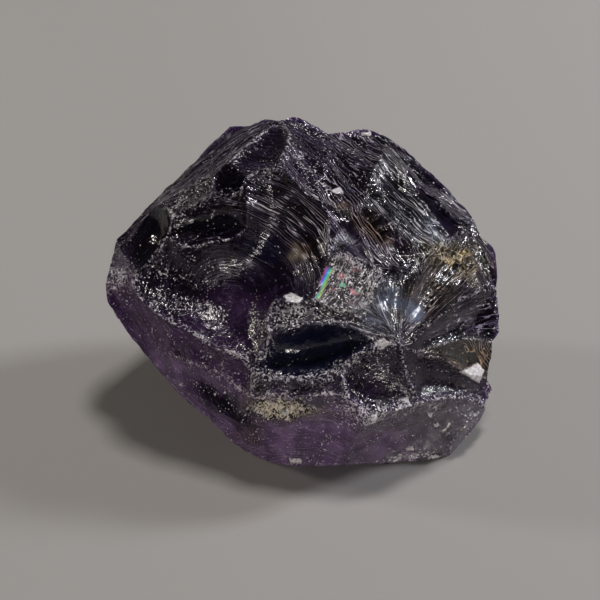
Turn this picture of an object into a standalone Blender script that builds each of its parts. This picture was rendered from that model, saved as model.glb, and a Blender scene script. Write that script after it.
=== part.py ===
"""Rough amethyst: one broken lump of dark purple quartz, resting on a flat break.

The lump is a closed net of fracture scars. Each scar is a shallow hollow, as quartz leaves when it
is struck, and two neighbouring scars share the sharp ridge between them. The ridges in view are
placed by where the eye sees them in the photograph, each on its own line of sight; the ridges out
of view are placed in plain millimetres.

Frame: metres, +Z up, the viewer stands on the -Y side. The origin is on the ground, under the
middle of the lump's bounding box.
"""

import math

import bmesh
import bpy
import numpy as np
from mathutils import Vector
from mathutils.geometry import delaunay_2d_cdt

MM = 0.001

# Driving dimensions
MM_PER_PIXEL = 0.140  # size of one photograph pixel across the middle of the lump, in mm
FOCAL_PIXELS = 1417.0  # focal length of the view, counted in pixels of the photograph
EYE_DISTANCE = FOCAL_PIXELS * MM_PER_PIXEL * MM  # from the eye to the middle of the lump
EYE_ELEVATION = math.radians(35.0)  # the eye looks down at the lump by this much
MIDDLE_PIXEL = (300.0, 300.0)  # pixel that the view is centred on
AIM = np.array([0.0, 0.0, 16.3]) * MM  # point of the lump that this pixel looks at

RIDGE_STEP = 1.25 * MM  # spacing of the points along a ridge
RAGGED_SEEN = 0.10 * MM  # how far a ridge's points stray from its curve, in view
RAGGED_HIDDEN = 0.30 * MM  # and out of view
LATTICE_STEP = 1.3  # spacing of the points inside a scar, in mm
ROW_HEIGHT = math.sqrt(0.75)  # of a triangular lattice, in steps
RIM_ROOM = 0.7  # a lattice point keeps this many steps away from the rim's points
INSIDE_ONLY = 1  # the triangulation keeps to the inside of the rim
SAME_PLACE = 1e-5  # in mm
WELD = 0.001 * MM  # points of neighbouring scars this close are one point
SHARP_ANGLE = math.radians(35.0)  # faces that meet at more than this meet in a sharp edge
SEED = 7

COLOUR = (0.035, 0.012, 0.06, 1.0)
ROUGHNESS = 0.12

RIGHT = np.array([1.0, 0.0, 0.0])
UPWARD = np.array([0.0, math.sin(EYE_ELEVATION), math.cos(EYE_ELEVATION)])
TOWARDS = np.array([0.0, -math.cos(EYE_ELEVATION), math.sin(EYE_ELEVATION)])

GROUND = None  # stands in a corner's last place where the line of sight ends on the ground

# Corners in view: photograph x and y in pixels, then millimetres towards the eye
SEEN = {
    "west_tip": (105.5, 284, 0),
    "west_brow": (117, 239, -2),
    "west_shoulder": (160, 195, -5),
    "north_left": (250, 126, -6),
    "north_spur": (279, 121, -5),
    "north_saddle": (328, 134, -6),
    "north_right": (385, 136, -6),
    "northeast": (472, 217, -4),
    "east_high": (496, 288, -1),
    "east_mid": (492, 342, 0),
    "east_notch": (487, 378, 0),
    "east_low": (487, 405, 0),
    "heel_right": (450, 455, GROUND),
    "sole_mid": (347, 465, GROUND),
    "heel_left": (245, 451, GROUND),
    "foot_west": (163, 376, 1.5),
    "west_foot": (149, 358, 1),
    "knob": (130, 282, 6),
    "scoop_foot": (138, 272, 5.5),
    "scoop_west": (121, 251, 0.5),
    "scoop_top": (162, 203, 3),
    "lip_west": (166, 237, 6.8),
    "crest_bend": (172, 221, 7),
    "pocket_low": (204, 200, 8.5),
    "cavity_sw": (213, 191, 8.7),
    "cavity_nw": (213, 177, 6),
    "cavity_east": (245, 178, 8.5),
    "spur_low": (229, 162, 5),
    "spur_east": (276, 167, 7.5),
    "lip_tip": (246, 229, 7.5),
    "ridge_mid": (318, 200, 9),
    "seam_top": (330, 218, 9.5),
    "seam_mid": (329, 257, 11),
    "seam_low": (315, 298, 12.5),
    "ledge_west": (275, 300, 12.9),
    "ledge_south": (270, 336, 13.1),
    "low_knot": (253, 372, 13),
    "split_b_top": (225, 350, 11.7),
    "split_a_top": (165, 320, 9.2),
    "split_a_low": (168, 352, 4.5),
    "split_b_low": (222, 375, 9.4),
    "blade_top": (400, 160, -3),
    "blade_end": (466, 229, -1),
    "blade_low": (451, 238, 2.5),
    "crown_low": (362, 205, 7.5),
    "gold_west": (434, 249, 5),
    "gold_east": (480, 291, 3.5),
    "patch_ne": (381, 268, 10),
    "fan_west": (371, 302, 12.9),
    "fan_knot": (400, 346, 14.3),
    "bowl_east": (376, 341, 14),
    "bowl_corner": (340, 370, 14.7),
    "band_end": (350, 399, 14.4),
    "cream_ne": (299, 400, 13.3),
    "cream_nw": (253, 399, 11.7),
    "cream_sw": (259, 421, 10),
    "low_split": (420, 403, 10.3),
    "foot_knot": (368, 424, 13.5),
}

# Corners out of view, in millimetres: x to the right, y away from the viewer, z up
HIDDEN = {
    "belly_west": (-20.0, 2.0, 9.5),
    "west_back": (-24.5, 7.5, 15.0),
    "back_west": (-19.0, 15.0, 18.5),
    "belly_nw": (-14.0, 12.5, 8.0),
    "back_mid": (-7.0, 20.8, 22.0),
    "back_split": (3.5, 21.3, 17.5),
    "belly_mid": (-0.5, 15.5, 6.0),
    "back_east": (13.5, 19.3, 15.5),
    "belly_ne": (14.5, 13.5, 6.5),
    "east_back": (22.5, 13.0, 14.5),
    "belly_east": (23.5, 4.5, 7.5),
    "base_west": (-10.0, -2.0, 0.0),
    "base_nw": (-4.5, 8.0, 0.0),
    "base_ne": (10.5, 7.0, 0.0),
    "base_east": (18.0, -2.5, 0.0),
}

# Ridges: first corner, the points between, last corner
RIDGES = {
    # the outline, clockwise from the left tip
    "rim_west": ("west_tip", [(109, 268, -1), (113, 253, -2)], "west_brow"),
    "rim_brow": ("west_brow", [(128, 229, -3), (141, 214, -4)], "west_shoulder"),
    "rim_nw": (
        "west_shoulder",
        [(187, 169, -6), (205, 150, -7), (218, 138, -7), (232, 127, -7)],
        "north_left",
    ),
    "rim_n1": ("north_left", [(258, 122, -6), (268, 120, -6)], "north_spur"),
    "rim_n2": ("north_spur", [(290, 118, -5), (302, 119, -5), (316, 127, -6)], "north_saddle"),
    "rim_n3": ("north_saddle", [(350, 132, -6), (369, 130, -6)], "north_right"),
    "rim_ne": (
        "north_right",
        [(402, 147, -6), (421, 163, -6), (445, 186, -5), (459, 201, -5)],
        "northeast",
    ),
    "rim_e1": ("northeast", [(482, 236, -3), (494, 250, -2), (498, 268, -1)], "east_high"),
    "rim_e2": ("east_high", [(499, 305, 0), (499, 330, 0)], "east_mid"),
    "rim_e3": ("east_mid", [(491, 358, 0)], "east_notch"),
    "rim_e4": ("east_notch", [(491, 392, 0)], "east_low"),
    "rim_e5": ("east_low", [(483, 414, 0), (476, 427, 1), (463, 441, 1.5)], "heel_right"),
    "rim_s1": ("heel_right", [(425, 460, GROUND), (385, 463, GROUND)], "sole_mid"),
    "rim_s2": ("sole_mid", [(300, 466, GROUND), (270, 462, GROUND)], "heel_left"),
    "rim_sw1": ("heel_left", [(223, 433, 3), (199, 410, 2), (176, 390, 2)], "foot_west"),
    "rim_sw2": ("foot_west", [], "west_foot"),
    "rim_sw3": (
        "west_foot",
        [(141, 350, 1), (131, 336, 1), (119, 320, 1), (109, 303, 1)],
        "west_tip",
    ),
    # the left crest and the scoops beside it
    "knob_west": ("west_tip", [(116, 282, 3)], "knob"),
    "crest_low": ("knob", [], "scoop_foot"),
    "crest_high": ("scoop_foot", [(149, 260, 6), (157, 247, 6.5)], "lip_west"),
    "crest_turn": ("lip_west", [], "crest_bend"),
    "scoop_sw": ("scoop_foot", [(130, 263, 3)], "scoop_west"),
    "scoop_nw": ("scoop_west", [(131, 238, 0), (142, 222, 0), (152, 209, 1)], "scoop_top"),
    "scoop_ne": ("scoop_top", [(168, 209, 5)], "crest_bend"),
    "brow_in": ("west_brow", [], "scoop_west"),
    "shoulder_in": ("west_shoulder", [], "scoop_top"),
    "spur": ("north_spur", [(262, 132, -1), (245, 147, 2)], "spur_low"),
    "slope_cavity": ("spur_low", [(221, 168, 5.5)], "cavity_nw"),
    "slope_pocket": ("cavity_nw", [(200, 180, 4.5), (182, 190, 3.5)], "scoop_top"),
    "crest_mid": ("crest_bend", [(180, 212, 7.5), (190, 206, 8)], "pocket_low"),
    "pocket_east": ("pocket_low", [], "cavity_sw"),
    "cavity_west": ("cavity_sw", [(212, 184, 7.5)], "cavity_nw"),
    "cavity_north": ("spur_low", [(238, 168, 7)], "cavity_east"),
    "cavity_south": ("cavity_sw", [(220, 194, 9.2), (231, 192, 9.5), (241, 186, 9.2)], "cavity_east"),
    "inner_east": ("north_spur", [(288, 128, -1), (289, 139, 2), (283, 153, 5)], "spur_east"),
    "inner_south": ("spur_east", [(262, 171, 8)], "cavity_east"),
    # the great bowl
    "ripple_top": ("spur_east", [(290, 178, 8), (302, 190, 8.3)], "ridge_mid"),
    "seam_start": ("ridge_mid", [], "seam_top"),
    "seam_high": ("seam_top", [(327, 240, 10.3)], "seam_mid"),
    "seam_deep": ("seam_mid", [(322, 273, 11.5)], "seam_low"),
    "ledge_north": ("seam_low", [(298, 304, 12.9)], "ledge_west"),
    "ledge_side": ("ledge_west", [(268, 320, 13.1)], "ledge_south"),
    "bowl_se": ("ledge_south", [(263, 352, 12.8)], "low_knot"),
    "bowl_sw_a": ("low_knot", [(240, 357, 12.2)], "split_b_top"),
    "bowl_sw_b": ("split_b_top", [(205, 343, 10.9), (185, 330, 10.4)], "split_a_top"),
    "bowl_sw_c": ("split_a_top", [(145, 303, 8)], "knob"),
    "lip": ("lip_west", [(185, 246, 8.5), (206, 243, 8.8), (230, 238, 8.5)], "lip_tip"),
    "lip_up": ("lip_tip", [(247, 205, 8.8)], "cavity_east"),
    # the crown and the long steps on the right
    "crown_split": ("north_saddle", [(330, 150, -1), (325, 165, 2.5), (321, 183, 6)], "ridge_mid"),
    "crown_east": ("north_right", [(383, 152, -2), (375, 168, 1.5), (368, 186, 4.5)], "crown_low"),
    "crown_south": ("crown_low", [(340, 208, 8.7)], "ridge_mid"),
    "strip_end": ("northeast", [(469, 224, -2.5)], "blade_end"),
    "strip_start": ("north_right", [(392, 150, -3.7)], "blade_top"),
    "blade_outer": ("blade_top", [(415, 177, -2.5), (433, 197, -2), (452, 215, -1.5)], "blade_end"),
    "blade_tip": ("blade_end", [(459, 235, 1)], "blade_low"),
    "blade_inner": ("blade_top", [(410, 183, 0), (424, 202, 1), (438, 221, 1.5)], "blade_low"),
    "steps_east": ("blade_low", [], "gold_west"),
    "steps_south": ("gold_west", [(418, 246, 6), (400, 232, 6.5), (382, 216, 7)], "crown_low"),
    "ochre_low": ("gold_west", [(410, 262, 7.5)], "patch_ne"),
    "ochre_west": ("patch_ne", [(362, 262, 10.3), (345, 253, 10.7)], "seam_mid"),
    # the bright patch, the fan and the right side
    "patch_east": ("patch_ne", [(381, 281, 11.3), (374, 292, 12.3)], "fan_west"),
    "patch_south": ("fan_west", [(350, 310, 13.1), (330, 306, 12.9)], "seam_low"),
    "fan_seam": ("fan_knot", [(402, 325, 12.6), (411, 295, 11), (422, 270, 8)], "gold_west"),
    "fan_low": ("fan_knot", [(385, 322, 13.5)], "fan_west"),
    "east_in": ("blade_end", [(470, 252, 0.5), (477, 270, 1.5)], "gold_east"),
    "gold_ridge": (
        "fan_knot",
        [(411, 345, 13.9), (422, 334, 13.2), (440, 316, 11.2), (462, 300, 8)],
        "gold_east",
    ),
    "gold_ridge_end": ("gold_east", [], "east_high"),
    "east_crease": ("east_mid", [(470, 339, 5), (445, 343, 8.9), (420, 350, 12.2)], "fan_knot"),
    "east_fold": (
        "fan_knot",
        [(425, 356, 12), (445, 360, 9.5), (462, 371, 7), (476, 376, 4)],
        "east_notch",
    ),
    "hollow_split": ("fan_knot", [(404, 362, 13.4), (411, 384, 12)], "low_split"),
    # the dark bowl and the crushed band under it
    "fan_bowl": ("fan_knot", [(388, 343, 14.3)], "bowl_east"),
    "bowl_rim": (
        "ledge_south",
        [(285, 331, 13.5), (305, 327, 13.9), (330, 325, 13.9), (356, 331, 14.1)],
        "bowl_east",
    ),
    "bowl_side": ("bowl_east", [(373, 349, 14.4), (355, 354, 14.6)], "bowl_corner"),
    "bowl_low": ("bowl_corner", [(320, 376, 14.4), (298, 377, 14.1), (275, 377, 13.4)], "low_knot"),
    "band_east": ("bowl_corner", [(344, 385, 14.7)], "band_end"),
    "band_south": ("band_end", [(335, 394, 14.2), (318, 395, 13.9)], "cream_ne"),
    "cream_top": ("cream_ne", [(275, 395, 12.8)], "cream_nw"),
    "band_west": ("low_knot", [(251, 386, 12.3)], "cream_nw"),
    "cream_east": ("cream_ne", [(302, 411, 12.6), (294, 419, 11.8), (275, 421, 10.9)], "cream_sw"),
    "cream_west": ("cream_nw", [(254, 410, 11)], "cream_sw"),
    # the low ridge and the foot
    "low_ridge_a": ("low_split", [(404, 408, 12), (387, 412, 13.2)], "foot_knot"),
    "low_ridge_b": ("east_low", [(474, 400, 3.5), (450, 399, 7.3)], "low_split"),
    "knot_rise": ("foot_knot", [(360, 409, 14.2)], "band_end"),
    "keel": ("foot_knot", [(359, 431, 11.8), (352, 444, 8.7)], "sole_mid"),
    "heel": ("heel_left", [(252, 437, 6.7)], "cream_sw"),
    "flake": ("east_low", [(471, 422, 3.5), (457, 437, 4), (451, 448, 3.5)], "heel_right"),
    "lilac_top_a": ("west_foot", [], "split_a_low"),
    "lilac_top_b": ("split_a_low", [(186, 360, 6.7), (205, 368, 8.5)], "split_b_low"),
    "lilac_top_c": ("split_b_low", [(236, 386, 10.3)], "cream_nw"),
    "lilac_low": (
        "cream_sw",
        [(244, 424, 9), (225, 415, 7.7), (203, 402, 6.3), (182, 388, 4.5)],
        "foot_west",
    ),
    "split_a": ("split_a_top", [(171, 335, 7.7)], "split_a_low"),
    "split_b": ("split_b_top", [(221, 362, 10.4)], "split_b_low"),
}

# Ridges out of view: first corner, points between in millimetres, last corner
HIDDEN_RIDGES = {
    "under_foot": ("foot_west", [], "belly_west"),
    "under_tip": ("west_tip", [], "west_back"),
    "under_side": ("west_back", [(-22.5, 4.0, 12.0)], "belly_west"),
    "base_edge_w": ("heel_left", [], "base_west"),
    "under_base_w": ("belly_west", [(-15.5, 0.5, 4.5)], "base_west"),
    "base_edge_nw": ("base_west", [(-8.0, 3.5, 0.0)], "base_nw"),
    "under_nw": ("belly_west", [(-17.5, 8.0, 9.0)], "belly_nw"),
    "base_rise_nw": ("belly_nw", [(-9.0, 11.0, 3.5)], "base_nw"),
    "shoulder_back": ("west_shoulder", [], "back_west"),
    "west_edge": ("back_west", [(-22.0, 11.5, 17.0)], "west_back"),
    "back_corner": ("back_west", [(-17.0, 14.5, 13.0)], "belly_nw"),
    "back_ridge_w": ("north_left", [(-8.8, 20.6, 27.0)], "back_mid"),
    "back_shelf_w": ("back_west", [(-14.0, 17.8, 20.0)], "back_mid"),
    "back_shelf_m": ("back_mid", [(-2.0, 21.5, 19.0)], "back_split"),
    "back_keel": ("back_split", [(2.0, 19.3, 12.0)], "belly_mid"),
    "belly_edge": ("belly_nw", [(-8.0, 14.8, 7.4)], "belly_mid"),
    "base_edge_n": ("base_nw", [(3.0, 8.8, 0.0)], "base_ne"),
    "base_rise_n": ("belly_mid", [(4.0, 11.8, 3.2)], "base_ne"),
    "back_ridge_e": ("north_right", [(14.2, 20.2, 24.5), (15.2, 19.8, 19.5)], "back_east"),
    "back_shelf_e": ("back_split", [(8.5, 20.2, 15.0)], "back_east"),
    "back_corner_e": ("back_east", [(14.0, 16.6, 10.5)], "belly_ne"),
    "belly_edge_e": ("belly_mid", [(6.0, 15.0, 6.8)], "belly_ne"),
    "base_rise_ne": ("belly_ne", [(12.8, 10.5, 3.0)], "base_ne"),
    "east_brow": ("northeast", [(23.8, 12.5, 18.5)], "east_back"),
    "east_edge": ("back_east", [(18.5, 17.0, 17.0)], "east_back"),
    "east_side": ("east_back", [(23.8, 8.8, 11.5)], "belly_east"),
    "belly_side": ("belly_ne", [(19.5, 9.5, 7.5)], "belly_east"),
    "notch_back": ("east_notch", [(25.8, 0.0, 7.2)], "belly_east"),
    "base_rise_e": ("belly_east", [(21.0, 0.5, 3.5)], "base_east"),
    "base_edge_ne": ("base_ne", [(15.2, 3.0, 0.0)], "base_east"),
    "base_edge_e": ("base_east", [], "heel_right"),
}

# Scars: the ridges round each, clockwise from outside ("-" runs a ridge backwards), and how deep
# its hollow is, in millimetres
SCARS = {
    "tip": ("rim_west brow_in -scoop_sw -crest_low -knob_west", 0.5),
    "brow": ("rim_brow shoulder_in -scoop_nw -brow_in", 0.5),
    "dark_scoop": ("scoop_sw scoop_nw scoop_ne -crest_turn -crest_high", 1.9),
    "slope": ("rim_nw rim_n1 spur slope_cavity slope_pocket -shoulder_in", 0.5),
    "pocket": ("-slope_pocket -cavity_west -pocket_east -crest_mid -scoop_ne", 0.8),
    "cavity": ("-slope_cavity cavity_north -cavity_south cavity_west", 2.2),
    "inner_facet": ("inner_east inner_south -cavity_north -spur", 1.0),
    "black_scoop": ("crest_turn crest_mid pocket_east cavity_south -lip_up -lip", 2.2),
    "great_bowl": (
        "crest_low crest_high lip lip_up -inner_south ripple_top seam_start seam_high seam_deep "
        "ledge_north ledge_side bowl_se bowl_sw_a bowl_sw_b bowl_sw_c",
        4.2,
    ),
    "crown_left": ("rim_n2 crown_split -ripple_top -inner_east", 0.7),
    "crown_right": ("rim_n3 crown_east crown_south -crown_split", 0.9),
    "outer_strip": ("rim_ne strip_end -blade_outer -strip_start", 0.4),
    "dark_blade": ("blade_outer blade_tip -blade_inner", 1.0),
    "steps": ("strip_start blade_inner steps_east steps_south -crown_east", 0.7),
    "ochre_band": (
        "-crown_south -steps_south ochre_low ochre_west -seam_high -seam_start",
        1.2,
    ),
    "patch": ("-ochre_west patch_east patch_south -seam_deep", 0.5),
    "feather": ("-ochre_low -fan_seam fan_low -patch_east", 1.0),
    "gold_fan": ("-steps_east -blade_tip east_in -gold_ridge fan_seam", 1.8),
    "east_face": ("-strip_end rim_e1 -gold_ridge_end -east_in", 0.6),
    "ledge": ("-patch_south -fan_low fan_bowl -bowl_rim -ledge_side -ledge_north", 0.8),
    "dark_bowl": ("bowl_rim bowl_side bowl_low -bowl_se", 2.8),
    "band": ("-bowl_low band_east band_south cream_top -band_west", 0.3),
    "east_upper": ("gold_ridge gold_ridge_end rim_e2 east_crease", 1.3),
    "east_ripple": ("-east_crease rim_e3 -east_fold", 1.0),
    "east_hollow": ("east_fold rim_e4 low_ridge_b -hollow_split", 1.8),
    "crushed_hollow": ("-fan_bowl hollow_split low_ridge_a knot_rise -band_east -bowl_side", 1.6),
    "cream": ("-cream_top cream_east -cream_west", 0.6),
    "front_foot": ("-cream_east -band_south -knot_rise keel rim_s2 heel", 1.0),
    "right_foot": ("-low_ridge_a -low_ridge_b flake rim_s1 -keel", 1.3),
    "east_flake": ("rim_e5 -flake", 0.3),
    "lilac": ("lilac_top_a lilac_top_b lilac_top_c cream_west lilac_low rim_sw2", 1.0),
    "lower_strip": ("-lilac_low -heel rim_sw1", 0.6),
    "west_band_a": ("knob_west -bowl_sw_c split_a -lilac_top_a rim_sw3", 0.9),
    "west_band_b": ("-bowl_sw_b split_b -lilac_top_b -split_a", 1.1),
    "west_band_c": ("-bowl_sw_a band_west -lilac_top_c -split_b", 1.0),
    # out of view
    "under_west": ("-rim_sw1 base_edge_w -under_base_w -under_foot", 1.2),
    "under_northwest": ("under_base_w base_edge_nw -base_rise_nw -under_nw", 1.0),
    "tip_under": ("-rim_sw3 -rim_sw2 under_foot -under_side -under_tip", 1.0),
    "tip_back": ("-rim_brow -rim_west under_tip -west_edge -shoulder_back", 0.8),
    "side_west": ("under_side under_nw -back_corner west_edge", 1.0),
    "back_high_w": ("-rim_nw shoulder_back back_shelf_w -back_ridge_w", 1.4),
    "back_low_w": ("back_corner belly_edge -back_keel -back_shelf_m -back_shelf_w", 1.7),
    "rise_west": ("base_rise_nw base_edge_n -base_rise_n -belly_edge", 0.9),
    "back_crown": (
        "-rim_n3 -rim_n2 -rim_n1 back_ridge_w back_shelf_m back_shelf_e -back_ridge_e",
        1.8,
    ),
    "back_high_e": ("-rim_ne back_ridge_e east_edge -east_brow", 1.5),
    "back_low_e": ("back_keel belly_edge_e -back_corner_e -back_shelf_e", 1.9),
    "side_east": ("-rim_e3 -rim_e2 -rim_e1 east_brow east_side -notch_back", 1.4),
    "side_ne": ("back_corner_e belly_side -east_side -east_edge", 1.2),
    "rise_mid": ("base_rise_n -base_rise_ne -belly_edge_e", 0.5),
    "under_east": ("-rim_e5 -rim_e4 notch_back base_rise_e base_edge_e", 1.1),
    "rise_east": ("base_rise_ne base_edge_ne -base_rise_e -belly_side", 0.9),
    "base": (
        "-rim_s2 -rim_s1 -base_edge_e -base_edge_ne -base_edge_n -base_edge_nw -base_edge_w",
        0.0,
    ),
}

# Chips off the hidden sides: the middle of the ball that each follows, and its radius, in mm
CHIPS = (
    ((6.0, 25.5, 24.5), 7.0),
    ((-19.0, 22.0, 24.0), 8.0),
    ((20.5, 21.0, 19.0), 7.0),
    ((9.5, 22.0, 3.5), 9.5),
    ((-8.5, 22.5, 8.0), 7.0),
    ((-26.5, 8.5, 7.0), 6.5),
)


def in_view(x, y, towards):
    """The point on the line of sight through a pixel, so far towards the eye, or on the ground."""
    sight = (
        -TOWARDS * FOCAL_PIXELS
        + RIGHT * (x - MIDDLE_PIXEL[0])
        + UPWARD * (MIDDLE_PIXEL[1] - y)
    )
    eye = AIM + TOWARDS * EYE_DISTANCE
    if towards is GROUND:
        return eye - sight * eye[2] / sight[2]
    return eye + sight * (EYE_DISTANCE - towards * MM) / FOCAL_PIXELS


def corner(name):
    """Where a named corner is."""
    if name in SEEN:
        return in_view(*SEEN[name])
    return np.array(HIDDEN[name]) * MM


def curve_through(points, step):
    """A smooth curve through the points, as points about one step apart.

    Between two points it is a Catmull-Rom cubic: it leaves each point along the line that joins
    that point's two neighbours.
    """
    ends = [2 * points[0] - points[1], *points, 2 * points[-1] - points[-2]]
    made = [points[0]]
    for before, a, b, after in zip(ends, ends[1:], ends[2:], ends[3:]):
        count = max(1, round(float(np.linalg.norm(b - a)) / step))
        for k in range(1, count + 1):
            t = k / count
            bend_a = (b - before) / 2
            bend_b = (after - a) / 2
            made.append(
                a * (2 * t**3 - 3 * t**2 + 1)
                + b * (3 * t**2 - 2 * t**3)
                + bend_a * (t**3 - 2 * t**2 + t)
                + bend_b * (t**3 - t**2)
            )
    return np.array(made)


def ragged(line, stray, chance):
    """The line with its inner points strayed at random; a point on the ground stays on it."""
    shift = chance.normal(0.0, stray, line.shape)
    shift[[0, -1]] = 0.0
    shift[1:-1] = (shift[:-2] + 2 * shift[1:-1] + shift[2:]) / 2.5
    shift[line[:, 2] < WELD, 2] = 0.0
    return line + shift


def ridge_lines():
    """Every ridge as an array of points."""
    chance = np.random.default_rng(SEED)
    lines = {}
    for name, (first, between, last) in RIDGES.items():
        points = [corner(first), *(in_view(*p) for p in between), corner(last)]
        lines[name] = ragged(curve_through(points, RIDGE_STEP), RAGGED_SEEN, chance)
    for name, (first, between, last) in HIDDEN_RIDGES.items():
        points = [corner(first), *(np.array(p) * MM for p in between), corner(last)]
        lines[name] = ragged(curve_through(points, RIDGE_STEP), RAGGED_HIDDEN, chance)
    return lines


def rim_of(ridges, lines):
    """The closed rim of a scar, as an array of points with no point twice."""
    parts = []
    for word in ridges.split():
        line = lines[word.lstrip("-")]
        parts.append(line[::-1][:-1] if word.startswith("-") else line[:-1])
    return np.vstack(parts)


def plane_of(rim):
    """The scar's middle, its outward normal and two directions across it.

    The normal is the sum of the cross products round the rim, turned outwards because the rim runs
    clockwise seen from outside.
    """
    middle = rim.mean(axis=0)
    arms = rim - middle
    normal = -np.cross(arms, np.roll(arms, -1, axis=0)).sum(axis=0)
    normal /= np.linalg.norm(normal)
    across = np.cross(normal, [0.3, 0.2, 1.0])
    across /= np.linalg.norm(across)
    return middle, normal, across, np.cross(normal, across)


def heights_inside(places, corners, heights):
    """Heights at places inside a rim, from the heights at its corners, by mean value weights.

    A corner's weight is the sum of the tangents of half the two angles that its edges fill as seen
    from the place, over its distance from the place.
    """
    arms = corners[None, :, :] - places[:, None, :]
    reach = np.linalg.norm(arms, axis=2)
    ahead = np.roll(arms, -1, axis=1)
    cross = arms[..., 0] * ahead[..., 1] - arms[..., 1] * ahead[..., 0]
    dot = (arms * ahead).sum(axis=2)
    half_angle = np.tan(np.arctan2(cross, dot) / 2)
    weight = (half_angle + np.roll(half_angle, 1, axis=1)) / reach
    return (weight * heights).sum(axis=1) / weight.sum(axis=1)


def lattice_inside(flat):
    """Places of an even triangular lattice that lie inside a flat rim and clear of its points."""
    low = flat.min(axis=0)
    columns, rows = (np.ptp(flat, axis=0) / (LATTICE_STEP * MM)).astype(int) + 2
    k, j = np.meshgrid(np.arange(columns), np.arange(round(rows / ROW_HEIGHT) + 1))
    places = low + LATTICE_STEP * MM * np.column_stack(
        [(k + 0.5 * (j % 2)).ravel() + 0.25, (j * ROW_HEIGHT).ravel() + 0.25]
    )
    arms = flat[None, :, :] - places[:, None, :]
    ahead = np.roll(arms, -1, axis=1)
    cross = arms[..., 0] * ahead[..., 1] - arms[..., 1] * ahead[..., 0]
    turned = np.arctan2(cross, (arms * ahead).sum(axis=2)).sum(axis=1)
    clear = np.linalg.norm(arms, axis=2).min(axis=1) > RIM_ROOM * LATTICE_STEP * MM
    return places[(np.abs(turned) > math.pi) & clear]


def add_scar(mesh, rim, hollow):
    """Adds one scar: a hollow over the rim's own plane, triangulated out to the rim.

    The hollow is a skin under a steady push: what the rim's heights less the bowl bend * r * r
    spread to inside, plus that bowl itself. It meets the rim and is hollow deep at its deepest.
    """
    middle, normal, across, along = plane_of(rim)
    flat = np.column_stack([(rim - middle) @ across, (rim - middle) @ along])
    heights = (rim - middle) @ normal
    inside = lattice_inside(flat)
    bowl = (flat**2).sum(axis=1)
    level = np.zeros(0)
    if len(inside):
        push = heights_inside(inside, flat, bowl) - (inside**2).sum(axis=1)
        level = heights_inside(inside, flat, heights) - hollow * MM * push / push.max()
    flat = np.vstack([flat, inside])
    heights = np.concatenate([heights, level])
    points = middle + flat[:, :1] * across + flat[:, 1:] * along + heights[:, None] * normal
    outline = list(range(len(rim)))
    places = [Vector(place) for place in flat / MM]
    _, _, faces, sources, _, _ = delaunay_2d_cdt(places, [], [outline], INSIDE_ONLY, SAME_PLACE)
    made = [mesh.verts.new(points[source[0]]) for source in sources]
    for face in faces:
        mesh.faces.new([made[k] for k in face])


def chipped(points, middle, radius):
    """The points with those inside a ball pushed straight out from its middle onto its skin."""
    arms = points - middle
    reach = np.linalg.norm(arms, axis=1)[:, None]
    return np.where(reach < radius, middle + arms * radius / reach, points)


def amethyst_material():
    """Dark purple quartz with a glassy break."""
    material = bpy.data.materials.new("amethyst")
    material.use_nodes = True
    shader = material.node_tree.nodes["Principled BSDF"]
    shader.inputs["Base Color"].default_value = COLOUR
    shader.inputs["Roughness"].default_value = ROUGHNESS
    shader.inputs["Metallic"].default_value = 0.0
    return material


def centred(points):
    """The points moved so that the origin is on the ground, under the middle of their box."""
    low, high = points.min(axis=0), points.max(axis=0)
    return points - [(low[0] + high[0]) / 2, (low[1] + high[1]) / 2, low[2]]


def make_stone(lines):
    """The lump: every scar, welded along the ridges, then chipped and stood over the origin."""
    mesh = bmesh.new()
    for ridges, hollow in SCARS.values():
        add_scar(mesh, rim_of(ridges, lines), hollow)
    bmesh.ops.remove_doubles(mesh, verts=mesh.verts, dist=WELD)
    points = np.array([vert.co for vert in mesh.verts])
    for middle, radius in CHIPS:
        points = chipped(points, np.array(middle) * MM, radius * MM)
    for vert, point in zip(mesh.verts, centred(points)):
        vert.co = point
    data = bpy.data.meshes.new("amethyst")
    mesh.to_mesh(data)
    mesh.free()
    data.shade_smooth()
    data.set_sharp_from_angle(angle=SHARP_ANGLE)
    data.materials.append(amethyst_material())
    stone = bpy.data.objects.new("amethyst", data)
    bpy.context.scene.collection.objects.link(stone)


def main():
    for obj in list(bpy.data.objects):
        bpy.data.objects.remove(obj)
    make_stone(ridge_lines())


main()
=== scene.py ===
# %% [markdown]
# # Rough amethyst
# A lump of purple quartz 55 mm wide, broken on every side. Quartz has no plane that it likes to
# split along, so it breaks as glass does, into shell-shaped hollows with sharp ridges between
# them. Fine ripples run round the point where each blow fell, feathery streaks run away from it,
# and the ridges themselves are crushed to white.
#
# The plain solid is loaded first and stays as it is. The fine stone is then made in its place,
# from the same net of ridges, but with points three to six times closer.

# %% The plain solid
import math

import bpy
import numpy as np
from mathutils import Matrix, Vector
from mathutils.geometry import delaunay_2d_cdt


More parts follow.
